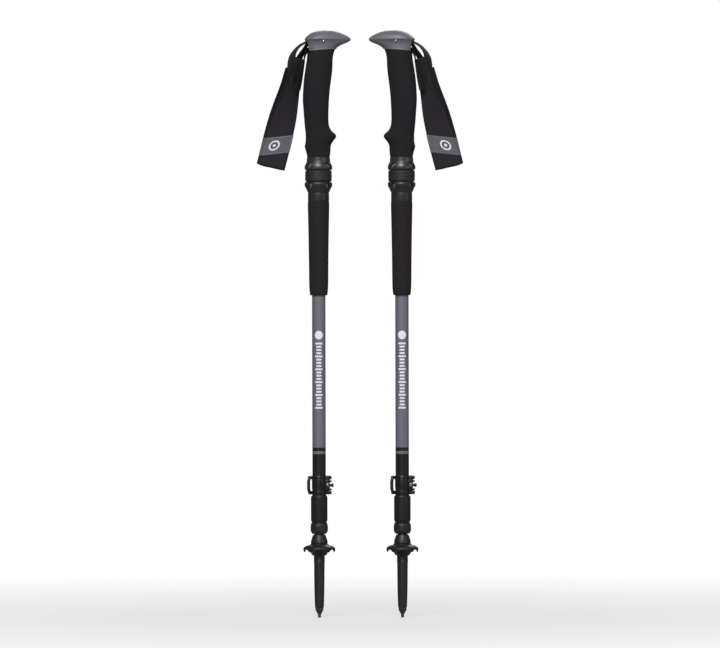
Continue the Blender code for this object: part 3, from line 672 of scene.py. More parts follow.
def shape_lobe(vert, radius, rim_level):
    """Pulls a point of the basket's rim in and up, except near the lobes."""
    root = 17.0
    reach = math.hypot(vert.co.x, vert.co.y)
    share = (reach - root) / (radius - root)
    if share <= 0:
        return
    valley = 1 - smoothed((math.cos(LOBES * math.atan2(vert.co.y, vert.co.x)) + 0.8) / 1.3)
    narrowing = 1 - 0.5 * valley * share / reach
    vert.co.x *= narrowing
    vert.co.y *= narrowing
    if vert.co.z < rim_level:
        vert.co.z += (rim_level - 0.3 - vert.co.z) * valley * 0.85


def button_hole(pole, level, reach):
    radius = pole.radius("lock_button") + BORE_GAP
    return along(cylinder(radius, 0, reach), (1, 0, 0), (0, 0, level))


def button_level(pole):
    """Level of the snap button's hole in the middle tube and its housing."""
    return pole.bottom("release_collar") + BUTTON_RISE


def add_holed_tube(pole, body, part, level):
    """A thin tube with the snap button's hole at a level."""
    radius, bottom, top = pole.turned_size(part)
    bore = radius - TUBE_WALL
    shape = turned([(radius, bottom), (radius, top), (bore, top), (bore, bottom)], 0.25, steps=2)
    add_piece(pole, body, part, shape, [button_hole(pole, level, radius + 1)])


def add_lower_tube(pole):
    add_holed_tube(pole, "lower", "lower_tube", pole.centre("lock_button").z)


# Middle section and its release joint


def add_middle_tube(pole):
    add_holed_tube(pole, "middle", "middle_tube", button_level(pole))


def add_middle_scale(pole):
    """Length marks down the middle tube, which come out as the pole is made longer."""
    surface = pole.radius("middle_tube") + PRINT_LIFT
    start = pole.top("lock_clamp")
    pitch = 10
    marks = []
    for index in range(32):
        half_turn = math.radians(52 if index % 5 == 0 else 26)
        marks.append(curved_mark(surface, half_turn, start + pitch * index, 0.5))
    add_detail(pole, "middle", "middle_scale", "tube_print", joined(*marks))


def curved_mark(radius, half_turn, level, half_height):
    """A thin printed bar that hugs the front of a tube."""
    steps = 8
    sections = []
    for step in range(steps + 1):
        outward = heading(FRONT - half_turn + 2 * half_turn * step / steps)
        section = []
        for lift, side in ((-0.1, -1), (0.0, -1), (0.0, 1), (-0.1, 1)):
            section.append(outward * (radius + lift) + Vector((0, 0, level + side * half_height)))
        sections.append(section)
    return lofted(sections)


def add_release_housing(pole):
    """The sleeve on the middle tube's foot: a shoulder, a groove, and the neck that the collar slides on."""
    radius, bottom, top = pole.turned_size("release_housing")
    neck = radius - HOUSING_STEP
    bore = pole.radius("middle_tube") + BORE_GAP
    collar_top = pole.top("release_collar")
    shoulder = collar_top + 2.5
    lip = collar_top + BORE_GAP
    groove = COLLAR_POCKET - 0.1
    outer = radius + FINISH
    outline = [(bore, bottom), (neck, bottom), (neck, lip), (groove, lip), (groove, shoulder)]
    outline += [(radius, shoulder), (outer, shoulder + 0.8)]
    outline += raised(top, (outer, -1.9), (radius - 0.2, -0.6), (radius - 1.2, 0), (radius - 1.2, 1.0),
                      (bore, 1.0))
    hole = button_hole(pole, button_level(pole), neck + 0.6)
    add_piece(pole, "middle", "release_housing", turned(outline, 0.4), [hole])


def add_release_collar(pole):
    """The ring that frees the snap button: finger flutes round its middle."""
    radius, bottom, top = pole.turned_size("release_collar")
    bore = pole.radius("release_housing") - HOUSING_STEP + BORE_GAP
    outer = radius + FINISH
    outline = raised(bottom - 0.3, (bore, 0), (8.8, 0), (9.5, 1.4), (10.7, 3.0))
    outline.append((outer, bottom + 4.4))
    outline += raised(top, (outer, -4.0), (radius, -2.4), (10.15, -1.4), (10.1, 0), (COLLAR_POCKET, 0))
    outline += raised(bottom, (COLLAR_POCKET, 2.7), (bore, 2.7))
    shape = fluted(turned(outline, 0.4), bottom + 2.9, top - 4.2, 24, 0.12)
    add_piece(pole, "collar", "release_collar", shape)


def add_release_spring(pole):
    """A round-wire coil, built at its rest length; on the pole it closes up as the collar is pushed."""
    outer, bottom, top = pole.turned_size("release_spring")
    wire = 0.38
    turns = 3
    steps_per_turn = 40
    steps = turns * steps_per_turn
    sections = []
    for step in range(steps + 1):
        outward = heading(2 * math.pi * step / steps_per_turn)
        level = bottom + wire + (top - bottom - 2 * wire) * step / steps
        section = []
        for point in circle(wire, 0, 10):
            section.append(outward * (outer - wire + point.x) + Vector((0, 0, level + point.y)))
        sections.append(section)
    piece = add_piece(pole, "middle", "release_spring", lofted(sections))
    squash(piece)


# Upper tube and clamp lock


def tube_clearance(pole):
    """The radius of a bore that the painted upper tube passes through."""
    return pole.radius("upper_tube") + FINISH + BORE_GAP


def add_upper_tube(pole):
    """The grey tube, bare inside the grip; its foot is black, with two rings where the colours meet."""
    bare, bottom, top = pole.turned_size("upper_tube")
    painted_top = pole.bottom("upper_cup")
    clamp_top = pole.top("lock_clamp")
    rings = [clamp_top + 27.0 + rise for rise in (0.0, 4.1, 8.4)]
    radius = bare + FINISH
    bore = bare - TUBE_WALL
    outline = [(radius, level) for level in (bottom, *rings, painted_top)]
    outline += [(bare, painted_top), (bare, top), (bore, top), (bore, bottom)]
    slit = rounded_block((radius - 2, -0.8, bottom - 1), (radius + 1, 0.8, clamp_top + 6))
    piece = add_piece(pole, "shaft", "upper_tube", turned(outline, 0.2, steps=1), [slit])
    piece.data.materials.append(LOOKS["tube_black"])
    for face in piece.data.polygons:
        level = face.center.z / MM
        face.material_index = int(level < rings[0] or rings[1] < level < rings[2])


def add_shaft_print(pole):
    """A plain printed ladder of bars down the grey tube, with a small disc above it."""
    surface = pole.radius("upper_tube") + FINISH + PRINT_LIFT
    ladder_top = pole.bottom("foam_extension") - 60.0
    pitch = 4.0
    disc_radius = 5.2
    marks = []
    for index in range(21):
        half_turn = math.radians(32 if index % 4 == 0 else 22)
        marks.append(curved_mark(surface, half_turn, ladder_top - pitch * index, 1.1))
    for step in range(-5, 6):
        share = step / 5.5
        half_turn = math.radians(36) * math.sqrt(1 - share ** 2)
        marks.append(curved_mark(surface, half_turn, ladder_top + 10.5 + share * disc_radius, 0.5))
    add_detail(pole, "shaft", "shaft_print", "tube_print", joined(*marks))


def clamp_ring(inner, outer, bottom, top, half_slit):
    """A split ring with a lip along its top and its foot."""
    section = raised(bottom, (inner, 0), (outer - 0.1, 0), (outer + 0.12, 0.6), (outer + 0.12, 4.4),
                     (outer - 0.45, 4.9), (outer - 0.45, 6.6), (outer, 7.1))
    section += raised(top, (outer, -3.6), (outer - 0.55, -3.1), (outer - 0.55, -2.7), (outer + 0.4, -2.2),
                      (outer + 0.3, -1.4), (outer - 0.1, -0.3), (outer - 0.5, 0), (inner, 0))
    section = eased(section, 0.3, closed=True, steps=2)
    start = math.asin(half_slit / outer)
    sections = []
    for step in range(SIDES + 1):
        turn = start + (2 * math.pi - 2 * start) * step / SIDES
        sections.append([Vector((r * math.cos(turn), r * math.sin(turn), z)) for r, z in section])
    return lofted(sections)


def add_lock_clamp(pole):
    """A split band whose two ears the screw pulls together, with grip teeth and a peg on the front ear."""
    low, high = pole.corners("lock_clamp")
    screw = pole.centre("tension_screw")
    front = pole.corners("tension_screw")[0].y + 2.2
    ear_root = 6.5
    ear_back = pole.corners("lever_pin")[0].y - 2.3
    ear_reach = screw.x + 2.3
    level = screw.z
    half_slit = 0.6
    shells = [
        clamp_ring(tube_clearance(pole), -low.x, low.z, high.z, half_slit),
        rounded_block((ear_root, front, low.z + 4.9), (ear_reach, -half_slit, high.z - 4.9), 0.7),
        rounded_block((ear_root, front + 0.7, low.z + 0.4), (ear_reach - 0.6, -half_slit, high.z - 0.4), 0.6),
        rounded_block((ear_root, half_slit, low.z + 0.2), (ear_reach, ear_back, high.z - 0.2), 0.7),
    ]
    boss = turned([(2.2, 0), (3.1, 0), (3.1, 0.9), (2.2, 0.9)], 0.3, sides=40)
    shells.append(along(boss, (0, 1, 0), (screw.x, front - 0.45, level)))
    teeth = ((-9.2, 2.0), (-5.3, 1.3), (5.0, 1.3), (9.3, 2.0))
    for offset, half_height in teeth:
        tooth = level + offset
        shells.append(rounded_block((ear_reach - 2, front + 0.5, tooth - half_height),
                                    (ear_reach + 2.7, -1.0, tooth + half_height), 0.7))
    neck = ear_reach - 1
    head = high.x
    peg = [(0, neck), (1.8, neck)]
    peg += raised(head, (1.8, -2.6), (2.2, -2.2), (2.45, -1.6), (2.3, -0.6), (1.5, 0), (0, 0))
    shells.append(along(turned(peg, 0.4, sides=40), (1, 0, 0), (0, -2.5, level)))
    add_piece(pole, "shaft", "lock_clamp", joined(*shells))


def rounded_section(thickness, width, reach):
    """A rounded rectangle as (outward, sideways) points."""
    half, side = thickness / 2, width / 2
    return eased([(-half, -side), (half, -side), (half, side), (-half, side)], reach, closed=True)


def lever_path(bottom, top):
    """Angle and level along the lever: out over the upper arm, down the finger bar, back underneath."""
    start, end = ARM_TURNS
    upper = top - ARM_HEIGHT / 2
    lower = bottom + ARM_HEIGHT / 2
    corner = CORNER_RADIUS / ARM_RADIUS
    arm_steps = 24
    steps = 8
    arm = [(start + (end - corner - start) * step / arm_steps, upper) for step in range(arm_steps)]
    for step in range(steps + 1):
        turn = math.pi / 2 * step / steps
        arm.append((end - corner + corner * math.sin(turn), upper - CORNER_RADIUS * (1 - math.cos(turn))))
    bar = []
    for step in range(1, steps):
        bar.append((end, upper - CORNER_RADIUS + (lower - upper + 2 * CORNER_RADIUS) * step / steps))
    underneath = [(turn, upper + lower - level) for turn, level in reversed(arm)]
    return arm + bar + underneath


def add_lock_lever(pole):
    """The lever: two arms and a finger bar bent round the tube, and two cams that press on the ear."""
    low, high = pole.corners("lock_lever")
    pin = pole.centre("lever_pin")
    middle = (low.z + high.z) / 2
    path = []
    for turn, level in lever_path(low.z, high.z):
        offset = (level - middle) / (high.z - middle)
        radius = ARM_RADIUS - ARM_BOW[int(offset > 0)] * smoothed((abs(offset) - 0.35) / 0.5)
        path.append(Vector((radius * math.cos(turn), radius * math.sin(turn), level)))
    section = rounded_section(ARM_THICKNESS, ARM_HEIGHT, 1.4)
    sections = []
    for index, point in enumerate(path):
        before = path[max(index - 1, 0)]
        after = path[min(index + 1, len(path) - 1)]
        outward = Vector((point.x, point.y, 0)).normalized()
        sideways = outward.cross(after - before).normalized()
        sections.append([point + outward * out + sideways * side for out, side in section])
    shells = [lofted(sections)]
    bore = pole.radius("lever_pin") + BORE_GAP
    cam = 4.4
    for arm_bottom in (low.z, high.z - ARM_HEIGHT):
        foot = arm_bottom + 0.1
        head = arm_bottom + ARM_HEIGHT - 0.1
        ring = turned([(bore, foot), (cam, foot), (cam, head), (bore, head)], 0.5, sides=48)
        shells.append(along(ring, (0, 0, 1), (pin.x, pin.y - 0.25, 0)))
    add_piece(pole, "lever", "lock_lever", joined(*shells))


def add_lever_pin(pole):
    """The upright pin that the lever turns on, with a low head at either end."""
    radius, bottom, top = pole.turned_size("lever_pin")
    place = pole.centre("lever_pin")
    outline = raised(bottom, (0, -0.3), (radius * 0.6, -0.25), (radius, 0.4))
    outline += raised(top, (radius, -0.4), (radius * 0.6, 0.25), (0, 0.3))
    shape = along(turned(outline, 0.4, sides=48), (0, 0, 1), (place.x, place.y, 0))
    add_piece(pole, "shaft", "lever_pin", shape)


def add_tension_screw(pole):
    """A round-headed screw with a slot across it."""
    low, high = pole.corners("tension_screw")
    place = pole.centre("tension_screw")
    head = (high.x - low.x) / 2
    shank = 1.2
    outline = raised(low.y, (0, -0.1), (head * 0.55, 0), (head * 0.95, 0.45), (head, 0.8), (head, 1.9),
                     (shank, 1.9))
    outline += [(shank, high.y), (0, high.y)]
    shape = along(turned(outline, 0.3, sides=48), (0, 1, 0), (place.x, 0, place.z))
    slot_reach, slot_side = 1.7, 0.7
    slot = rounded_block((place.x - slot_reach, low.y - 1, place.z - slot_side),
                         (place.x + slot_reach, low.y + 1.5, place.z + slot_side))
    add_piece(pole, "screw", "tension_screw", shape, [slot])


# Foam extension and shock absorber


def add_foam_extension(pole):
    """The long foam sleeve: narrow at its foot, with a long even taper."""
    radius, bottom, top = pole.turned_size("foam_extension")
    bore = tube_clearance(pole)
    radius += FINISH
    taper = ((0.76, 0), (0.82, 1.6), (0.86, 6.7), (0.89, 14.0), (0.912, 44.0), (0.955, 81.0))
    shoulder = ((1.0, -7.0), (0.99, -3.0), (0.985, -0.65))
    rows = [(radius * share, bottom + height) for share, height in taper]
    rows += [(radius * share, top + height) for share, height in shoulder]
    outline = [*smooth_rows(rows, 6), Vector((bore, top - 0.65)), Vector((bore, bottom))]
    add_piece(pole, "shaft", "foam_extension", turned(outline))


def cup_windows(level, half_height, azimuths, half_width):
    """Cutters for oval windows, each right through both sides of a cup's flare."""
    cutters = []
    for azimuth in azimuths:
        rim = [Vector((half_height * point.x, half_width * point.y, 0)) for point in circle(1, 0, 40)]
        prism = lofted([[point + Vector((0, 0, end)) for point in rim] for end in (-20, 20)])
        cutters.append(along(prism, heading(math.radians(azimuth)), (0, 0, level)))
    return cutters


def add_lower_cup(pole):
    """A collar on the tube that flares out into a cup, with oval windows in the flare."""
    radius, bottom, top = pole.turned_size("lower_cup")
    hub = tube_clearance(pole)
    radius += FINISH
    collar = 12.8 + FINISH
    outline = raised(bottom, (hub, -0.9), (collar, -0.9))
    outline += raised(bottom + 10.0, (collar, -1.4), (collar - 0.3, -0.9), (collar - 0.3, -0.3),
                      (collar + 0.2, 0.1))
    outline += raised(bottom, (14.4, 12.7), (15.9, 15.7), (17.0, 17.8), (radius + 0.1, 20.4))
    outline += raised(top, (16.9, -1.2), (15.7, 0), (14.0, 0), (15.3, -3.0), (13.6, -8.0), (12.3, -10.4),
                      (hub, -10.4))
    windows = cup_windows(top - 5.3, 2.8, (50, 137), 5.0)
    add_piece(pole, "shaft", "lower_cup", turned(outline, 0.4, FINE_SIDES), windows)


def add_upper_cup(pole):
    """The cup under the grip, flared downwards, with oval windows in the flare."""
    radius, bottom, top = pole.turned_size("upper_cup")
    radius += FINISH
    hub = tube_clearance(pole)
    outline = raised(top, (hub, -6.3), (13.0, -6.3), (14.0, -8.1), (15.4, -12.3))
    outline += raised(bottom, (14.0, 0), (15.8, 0), (17.0, 0.9), (radius, 2.6), (17.1, 4.8), (16.0, 7.5),
                      (14.8, 9.8), (14.5, 12.8))
    outline += raised(top, (14.4, -0.4), (14.3, 0), (hub, 0))
    windows = cup_windows(bottom + 5.2, 2.5, (46, 143), 6.2)
    add_piece(pole, "grip", "upper_cup", turned(outline, 0.4, FINE_SIDES), windows)


def add_shock_elastomer(pole):
    """The rubber spool that the grip presses on; it shows through the cups' windows."""
    radius, bottom, top = pole.turned_size("shock_elastomer")
    bore = tube_clearance(pole)
    outline = raised(bottom, (bore, 0), (11.9, 0), (radius - 0.1, 7.1))
    outline += raised(pole.top("lower_cup"), (13.4, -0.2), (11.5, 1.9))
    outline += raised(pole.bottom("upper_cup"), (11.5, -1.7), (13.4, 0.2), (radius, 3.4))
    outline += [(12.6, top), (bore, top)]
    piece = add_piece(pole, "shaft", "shock_elastomer", turned(outline, 0.8))
    squash(piece)


def add_shock_boot(pole):
    """The bellows between the cups: fine round ribs that taper in to a neck at either end."""
    radius, bottom, top = pole.turned_size("shock_boot")
    radius += FINISH + 0.2
    bottom -= 0.7
    top += 0.3
    inner = 13.2
    neck = 15.4
    shoulder = 1.7
    outline = raised(bottom, (inner, 0), (neck, 0), (neck + 0.4, 0.5), (radius - 0.25, 1.2))
    outline += rippled(radius, bottom + shoulder, top - shoulder, 6, 0.4)
    outline += raised(top, (radius - 0.25, -1.2), (neck + 0.4, -0.5), (neck, 0), (inner, 0))
    piece = add_piece(pole, "shaft", "shock_boot", turned(outline, sides=FINE_SIDES))
    squash(piece)


# Grip


def egg(level, rear, front, half_width, beak_taper=0.0, squareness=1.0, tilt=0.0):
    """A section with a round or squarish rear and a longer front, narrowed towards the beak."""
    centre = rear + half_width
    points = []
    for index in range(FINE_SIDES):
        turn = 2 * math.pi * index / FINE_SIDES
        along_x, along_y = math.cos(turn), math.sin(turn)
        if along_x > 0:
            x = centre + (front - centre) * along_x
            y = half_width * along_y * (1 - beak_taper * along_x)
        else:
            x = centre - half_width * abs(along_x) ** squareness
            y = math.copysign(half_width * abs(along_y) ** squareness, along_y)
        points.append(Vector((x, y, level + tilt * x)))
    return points


def add_grip_foam(pole):
    """The moulded hand grip, with a finger beak low on its front and a small swell at the rear."""
    bottom = pole.top("upper_cup") + BORE_GAP
    top = pole.top("grip_foam")
    core = pole.radius("grip_core") + BORE_GAP
    rows = [  # height above the foot, rear, front, half width
        (0.0, -14.1, 14.1, 13.9),
        (1.2, -14.3, 14.3, 14.0),
        (2.0, -14.1, 14.15, 13.8),
        (3.0, -14.4, 14.6, 14.0),
        (7.0, -15.4, 15.0, 14.1),
        (11.4, -16.7, 15.2, 14.2),
        (14.0, -17.1, 15.5, 14.2),
        (16.6, -16.4, 16.2, 14.2),
        (20.0, -15.9, 18.4, 14.1),
        (24.0, -15.8, 21.5, 14.1),
        (26.4, -15.8, 22.2, 14.1),
        (29.0, -15.9, 20.9, 14.1),
        (33.0, -16.3, 16.5, 14.0),
        (38.8, -16.9, 13.5, 13.9),
        (46.8, -17.6, 12.6, 14.0),
        (58.8, -18.5, 12.8, 14.3),
        (71.8, -19.3, 13.4, 14.6),
        (84.8, -18.8, 14.5, 14.7),
        (96.8, -17.9, 16.1, 14.7),
        (109.8, -16.1, 17.6, 14.5),
        (123.8, -14.1, 18.4, 14.2),
        (top - bottom, -13.6, 20.9, 13.9),
    ]
    sections = []
    for height, *size in smooth_rows(rows, 4):
        tilt = SKIRT_TILT * smoothed((height - 110) / 16)
        sections.append(egg(bottom + height, *size, tilt=tilt))
    hollow = cylinder(core, bottom - 1, top + 1, SIDES)
    add_piece(pole, "grip", "grip_foam", lofted(sections), [hollow], mirrored=True)


def knob_sections(bottom):
    rows = [  # height above the skirt's edge, rear, front, half width, beak taper, squareness
        (0.0, -13.4, 21.9, 13.9, 0.0, 0.75),
        (0.25, -13.9, 22.6, 14.4, 0.0, 0.75),
        (1.2, -14.0, 23.1, 14.5, 0.02, 0.75),
        (1.7, -13.8, 23.4, 14.2, 0.03, 0.75),
        (3.0, -14.1, 25.1, 14.2, 0.05, 0.72),
        (6.0, -14.4, 29.4, 14.3, 0.1, 0.7),
        (8.6, -14.9, 34.3, 14.8, 0.18, 0.7),
        (11.0, -15.7, 38.3, 15.8, 0.25, 0.7),
        (12.6, -16.5, 40.0, 17.0, 0.29, 0.72),
        (13.6, -16.9, 40.4, 18.0, 0.3, 0.75),
        (14.4, -16.8, 40.4, 18.2, 0.3, 0.78),
        (16.2, -15.5, 39.1, 17.4, 0.29, 0.82),
        (18.4, -13.2, 36.2, 16.3, 0.25, 0.88),
        (21.2, -9.6, 30.6, 13.4, 0.2, 0.95),
        (23.4, -4.8, 24.8, 9.8, 0.1, 1.0),
        (24.6, 0.0, 19.2, 6.6, 0.0, 1.0),
        (25.05, 4.4, 14.2, 4.0, 0.0, 1.0),
        (25.15, 8.2, 9.6, 0.6, 0.0, 1.0),
    ]
    sections = []
    for height, *size in smooth_rows(rows, 4):
        tilt = SKIRT_TILT * (1 - smoothed(height / 12))
        sections.append(egg(bottom + height, *size, tilt=tilt))
    return sections


def strap_slot(pin, skirt):
    """A cutter from round the strap pin down to the knob's rear, where the webbing leaves."""
    half_width = 10.2
    rear = -19.0
    profile = [
        (pin.x + 3.8, pin.z + 3.6),
        (rear, pin.z - 1.2),
        (rear, skirt - 3),
        (-9.0, skirt - 3),
        (-7.0, skirt + 3),
        (pin.x - 3.4, pin.z - 4.2),
        (pin.x + 3.8, pin.z - 4.2),
    ]
    return lofted([[Vector((x, side * half_width, level)) for x, level in profile] for side in (-1, 1)])


def strap_pin_place(pole):
    """The strap pin's centre, with the beak towards +X."""
    pin = pole.centre("strap_pin")
    return Vector((pin.x * pole.facing, pin.y, pin.z))


def add_knob(pole):
    """The palm knob: a skirt with a lip, a domed top, a drooping beak, the strap slot and the pin's seat."""
    skirt = pole.top("grip_foam") + BORE_GAP
    pin = strap_pin_place(pole)
    oval = circle(1, 0, SMALL_SIDES)
    seat = lofted([[Vector((pin.x + 1.25 * point.x, end, pin.z - 0.9 + 2.1 * point.y)) for point in oval]
                   for end in (-30, 30)])
    cuts = [strap_slot(pin, skirt), seat]
    add_piece(pole, "grip", "knob", lofted(knob_sections(skirt)), cuts, mirrored=True)


def add_strap_pin(pole):
    """A steel pin with flattened oval ends that fill their seats."""
    pin = strap_pin_place(pole)
    low, high = pole.corners("strap_pin")
    half = (high.y - low.y) / 2 - 0.2
    ends = ((0.0, 0.5), (0.3, 0.9), (1.5, 1.0))
    stations = [(inset - half, size) for inset, size in ends]
    stations += [(half - inset, size) for inset, size in reversed(ends)]
    sections = [[Vector((pin.x + 0.9 * size * point.x, y, pin.z - 0.6 + 1.6 * size * point.y))
                 for point in circle(1, 0, 24)] for y, size in stations]
    add_piece(pole, "grip", "strap_pin", lofted(sections), mirrored=True)


# Strap


def smoothed(value):
    value = max(0.0, min(1.0, value))
    return value * value * (3 - 2 * value)


class Loop:
    """The padded loop: its centre line, how its face turns, and the place of any point on its layers."""

    def __init__(self, pole):
        low, high = pole.corners("strap_pad")
        if pole.facing < 0:
            low.x, high.x = -high.x, -low.x
        self.top = Vector((high.x - 7.0, 0, high.z + 5.9))
        self.foot = Vector((low.x + 19.4, 0, low.z + 5.7))
        self.fall = (self.foot - self.top).normalized()
        self.across = Vector((-self.fall.z, 0, self.fall.x))
        self.length = (self.foot - self.top).length
        self.whole_length = 2 * self.length + math.pi * LOOP_GAP[1] / 2
        self.twists = smooth_rows(LOOP_TWIST, 8)

    def twist(self, share):
        for before, after in zip(self.twists, self.twists[1:]):
            if share <= after[0]:
                step = (share - before[0]) / (after[0] - before[0])
                return math.radians(before[1] + (after[1] - before[1]) * step)
        return math.radians(self.twists[-1][1])

    def frame(self, share):
        """Centre of the loop, the direction across its layers, and the way its front layer faces."""
        twist = self.twist(share)
        back = Vector((0, 1, 0))
        width = back * math.cos(twist) + self.across * math.sin(twist)
        normal = self.across * math.cos(twist) - back * math.sin(twist)
        share = min(share, 1.0)
        bow = self.across * LOOP_BOW * math.sin(math.pi * share)
        return self.top.lerp(self.foot, share) + bow, width, normal

    def station(self, run):
        """Centre, width and outward direction at a run along the strip, in millimetres from its front top.

        The strip goes down the front layer, round the foot and up the back layer.
        """
        gap = LOOP_GAP[1] / 2
        fold = math.pi * gap
        if run <= self.length:
            share, side = run / self.length, 1
        elif run >= self.length + fold:
            share, side = (2 * self.length + fold - run) / self.length, -1
        else:
            turn = (run - self.length) / gap
            _, width, normal = self.frame(1.0)
            outward = normal * math.cos(turn) + self.fall * math.sin(turn)
            return self.foot + outward * gap, width, outward
        centre, width, normal = self.frame(share)
        half_gap = (LOOP_GAP[0] + (LOOP_GAP[1] - LOOP_GAP[0]) * smoothed(share)) / 2
        return centre + normal * side * half_gap, width, normal * side

    def point(self, run, across, lift):
        """A point on the strip: along it, across it, and lifted off its middle towards the outside."""
        centre, width, outward = self.station(run)
        wave = 0.0
        for size_across, size_along, seed, height in CRUMPLES:
            wave += noise.noise(Vector((across / size_across, run / size_along, seed))) * height
        crumple = wave * (1 - (abs(across) / 19) ** 2)
        fold_middle = self.length + math.pi * LOOP_GAP[1] / 4
        cornering = smoothed((abs(across) - 14) / 5) * (1 - smoothed(abs(run - fold_middle) / 9))
        rise = CORNER_PULL[int(across > 0)] * cornering
        return centre + width * across + outward * (lift + crumple) - self.fall * rise


def profile_height(across):
    """How far the pad's face stands off its middle at a distance across it."""
    across = min(abs(across), PAD_PROFILE[-1][0])
    for (near, low), (far, high) in zip(PAD_PROFILE, PAD_PROFILE[1:]):
        if across <= far:
            return low + (high - low) * (across - near) / (far - near)
    return 0.0


def strip_shape(sections, places):
    """Skins sections, and maps every corner to its place (across, along) on the strip, in millimetres."""
    shape = bmesh.new()
    grid = {}
    rings = []
    for section, marks in zip(sections, places):
        ring = [shape.verts.new(point) for point in section]
        grid.update(zip(ring, marks))
        rings.append(ring)
    skin(shape, rings)
    shape.faces.new(rings[0])
    shape.faces.new(rings[-1])
    layer = shape.loops.layers.uv.new("strip")
    for face in shape.faces:
        for loop in face.loops:
            loop[layer].uv = grid[loop.vert]
    return shape


def both_sides(right):
    """A symmetrical line of (across, lift) points, from its right half."""
    return [(-across, lift) for across, lift in reversed(right)] + right[1:]


def closed_section(upper):
    """A section of (across, lift) points, once round, from its upper side."""
    return upper + [(across, -lift) for across, lift in reversed(upper[1:-1])]


def add_strap_pad(pole, loop):
    """The padded loop, down its front layer, round the foot and up the back one, with bound edges."""
    outline = closed_section(both_sides(list(PAD_PROFILE)))
    start = 0.06 * loop.length
    end = loop.whole_length - 0.165 * loop.length
    steps = 190
    sections = []
    places = []
    for step in range(steps + 1):
        run = start + (end - start) * step / steps
        nearness = min(step, steps - step)
        closing = smoothed(nearness / 3 + 0.35)
        skew = -0.08 * smoothed((run - 0.6 * loop.length) / (0.3 * loop.length))
        skew *= 1 - smoothed((run - 1.1 * loop.length) / (0.3 * loop.length))
        sections.append([loop.point(run + skew * across, across, lift * closing) for across, lift in outline])
        places.append([(across, run) for across, _ in outline])
    shape = strip_shape(sections, places)
    piece = add_piece(pole, "strap", "strap_pad", shape, mirrored=True)
    piece.data.materials.append(LOOKS["strap_edge"])
    uv = piece.data.uv_layers["strip"].data
    for face in piece.data.polygons:
        reach = min(abs(uv[index].uv[0]) for index in face.loop_indices)
        face.material_index = int(reach >= SEAM_ACROSS)


def stitches(points, width):
    """Short threads along a line of points, each sunk at both ends."""
    stations = ((0.0, 0.4, -0.25), (0.2, 1.0, 0.1), (0.8, 1.0, 0.1), (1.0, 0.4, -0.25))
    shells = []
    for start, end, outward in points:
        direction = (end - start).normalized()
        sideways = direction.cross(outward).normalized()
        sections = []
        for share, size, lift in stations:
            centre = start.lerp(end, share) + outward * lift
            ring = circle(width * size, 0, 6)
            sections.append([centre + sideways * point.x + outward * point.y for point in ring])
        shells.append(lofted(sections))
    return joined(*shells)


def stitch_line(loop, place, lift):
    """Start, end and outward direction of each stitch along a line; place(t) gives (run, across)."""
    length = (Vector(place(1.0)) - Vector(place(0.0))).length
    count = int(length / STITCH_PITCH)
    line = []
    for index in range(count):
        run, across = place(index / count)
        next_run, next_across = place((index + 0.68) / count)
        outward = loop.station(run)[2]
        height = profile_height(across) + lift
        line.append((loop.point(run, across, height), loop.point(next_run, next_across, height), outward))
    return line


def add_strap_stitching(pole, loop):
    """Threads along both bound edges of both layers."""
    threads = []
    for across in (-SEAM_ACROSS, SEAM_ACROSS):
        threads += stitch_line(loop, lambda t: (loop.whole_length * (0.035 + 0.89 * t), across), 0.05)
    thread = stitches(threads, 0.34)
    add_detail(pole, "strap", "strap_stitching", "strap_thread", thread, mirrored=True)


def band_run(loop, share, across):
    """How far down the front layer the slanting band reaches at a distance across it."""
    return (BAND_SHARES[0] + (BAND_SHARES[1] - BAND_SHARES[0]) * share) * loop.length + BAND_SLANT * across


def add_strap_band(pole, loop):
    """The grey band sewn slantwise across the front layer."""
    right = [(across, height + BAND_LIFT) for across, height in PAD_PROFILE[:-1]] + [(18.15, BAND_LIFT)]
    upper = both_sides(right)
    section = upper + [(across, lift - 2 * BAND_LIFT) for across, lift in reversed(upper)]
    steps = 18
    sections = []
    places = []
    for step in range(steps + 1):
        share = step / steps
        edge = 0.25 if step in (0, steps) else 0.0
        ring = []
        for across, lift in section:
            ring.append(loop.point(band_run(loop, share, across), across, lift - edge))
        sections.append(ring)
        places.append([(across, band_run(loop, share, 0)) for across, _ in section])
    add_piece(pole, "strap", "strap_band", strip_shape(sections, places), mirrored=True)


def add_band_stitching(pole, loop):
    """Thread along the band's two edges."""
    threads = []
    half = 17.0
    for share in (0.05, 0.95):
        def place(t, share=share):
            across = -half + 2 * half * t
            return band_run(loop, share, across), across
        threads += stitch_line(loop, place, BAND_TOP)
    thread = stitches(threads, 0.26)
    add_detail(pole, "strap", "band_stitching", "band_thread", thread, mirrored=True)


def add_band_mark(pole, loop):
    """A plain printed ring with a dot in it, in the middle of the band."""
    shape = bmesh.new()
    middle = band_run(loop, 0.5, 0)
    sides = 48
    turns = [2 * math.pi * index / sides for index in range(sides)]

    def rings(*radii):
        made = []
        for radius in radii:
            ring = []
            for turn in turns:
                across = radius * math.cos(turn) + MARK_ACROSS
                run = middle + BAND_SLANT * across + radius * math.sin(turn)
                ring.append(shape.verts.new(loop.point(run, across, profile_height(across) + BAND_TOP)))
            made.append(ring)
        skin(shape, made)
        return made

    rings(6.5, 5.5, 4.6)
    dot = rings(1.8, 0.9)
    shape.faces.new(dot[-1])
    mark = add_detail(pole, "strap", "band_mark", "strap_mark", shape, mirrored=True)
    thicken = mark.modifiers.new("Ink", "SOLIDIFY")
    thicken.thickness = 0.08 * MM
    thicken.offset = 0


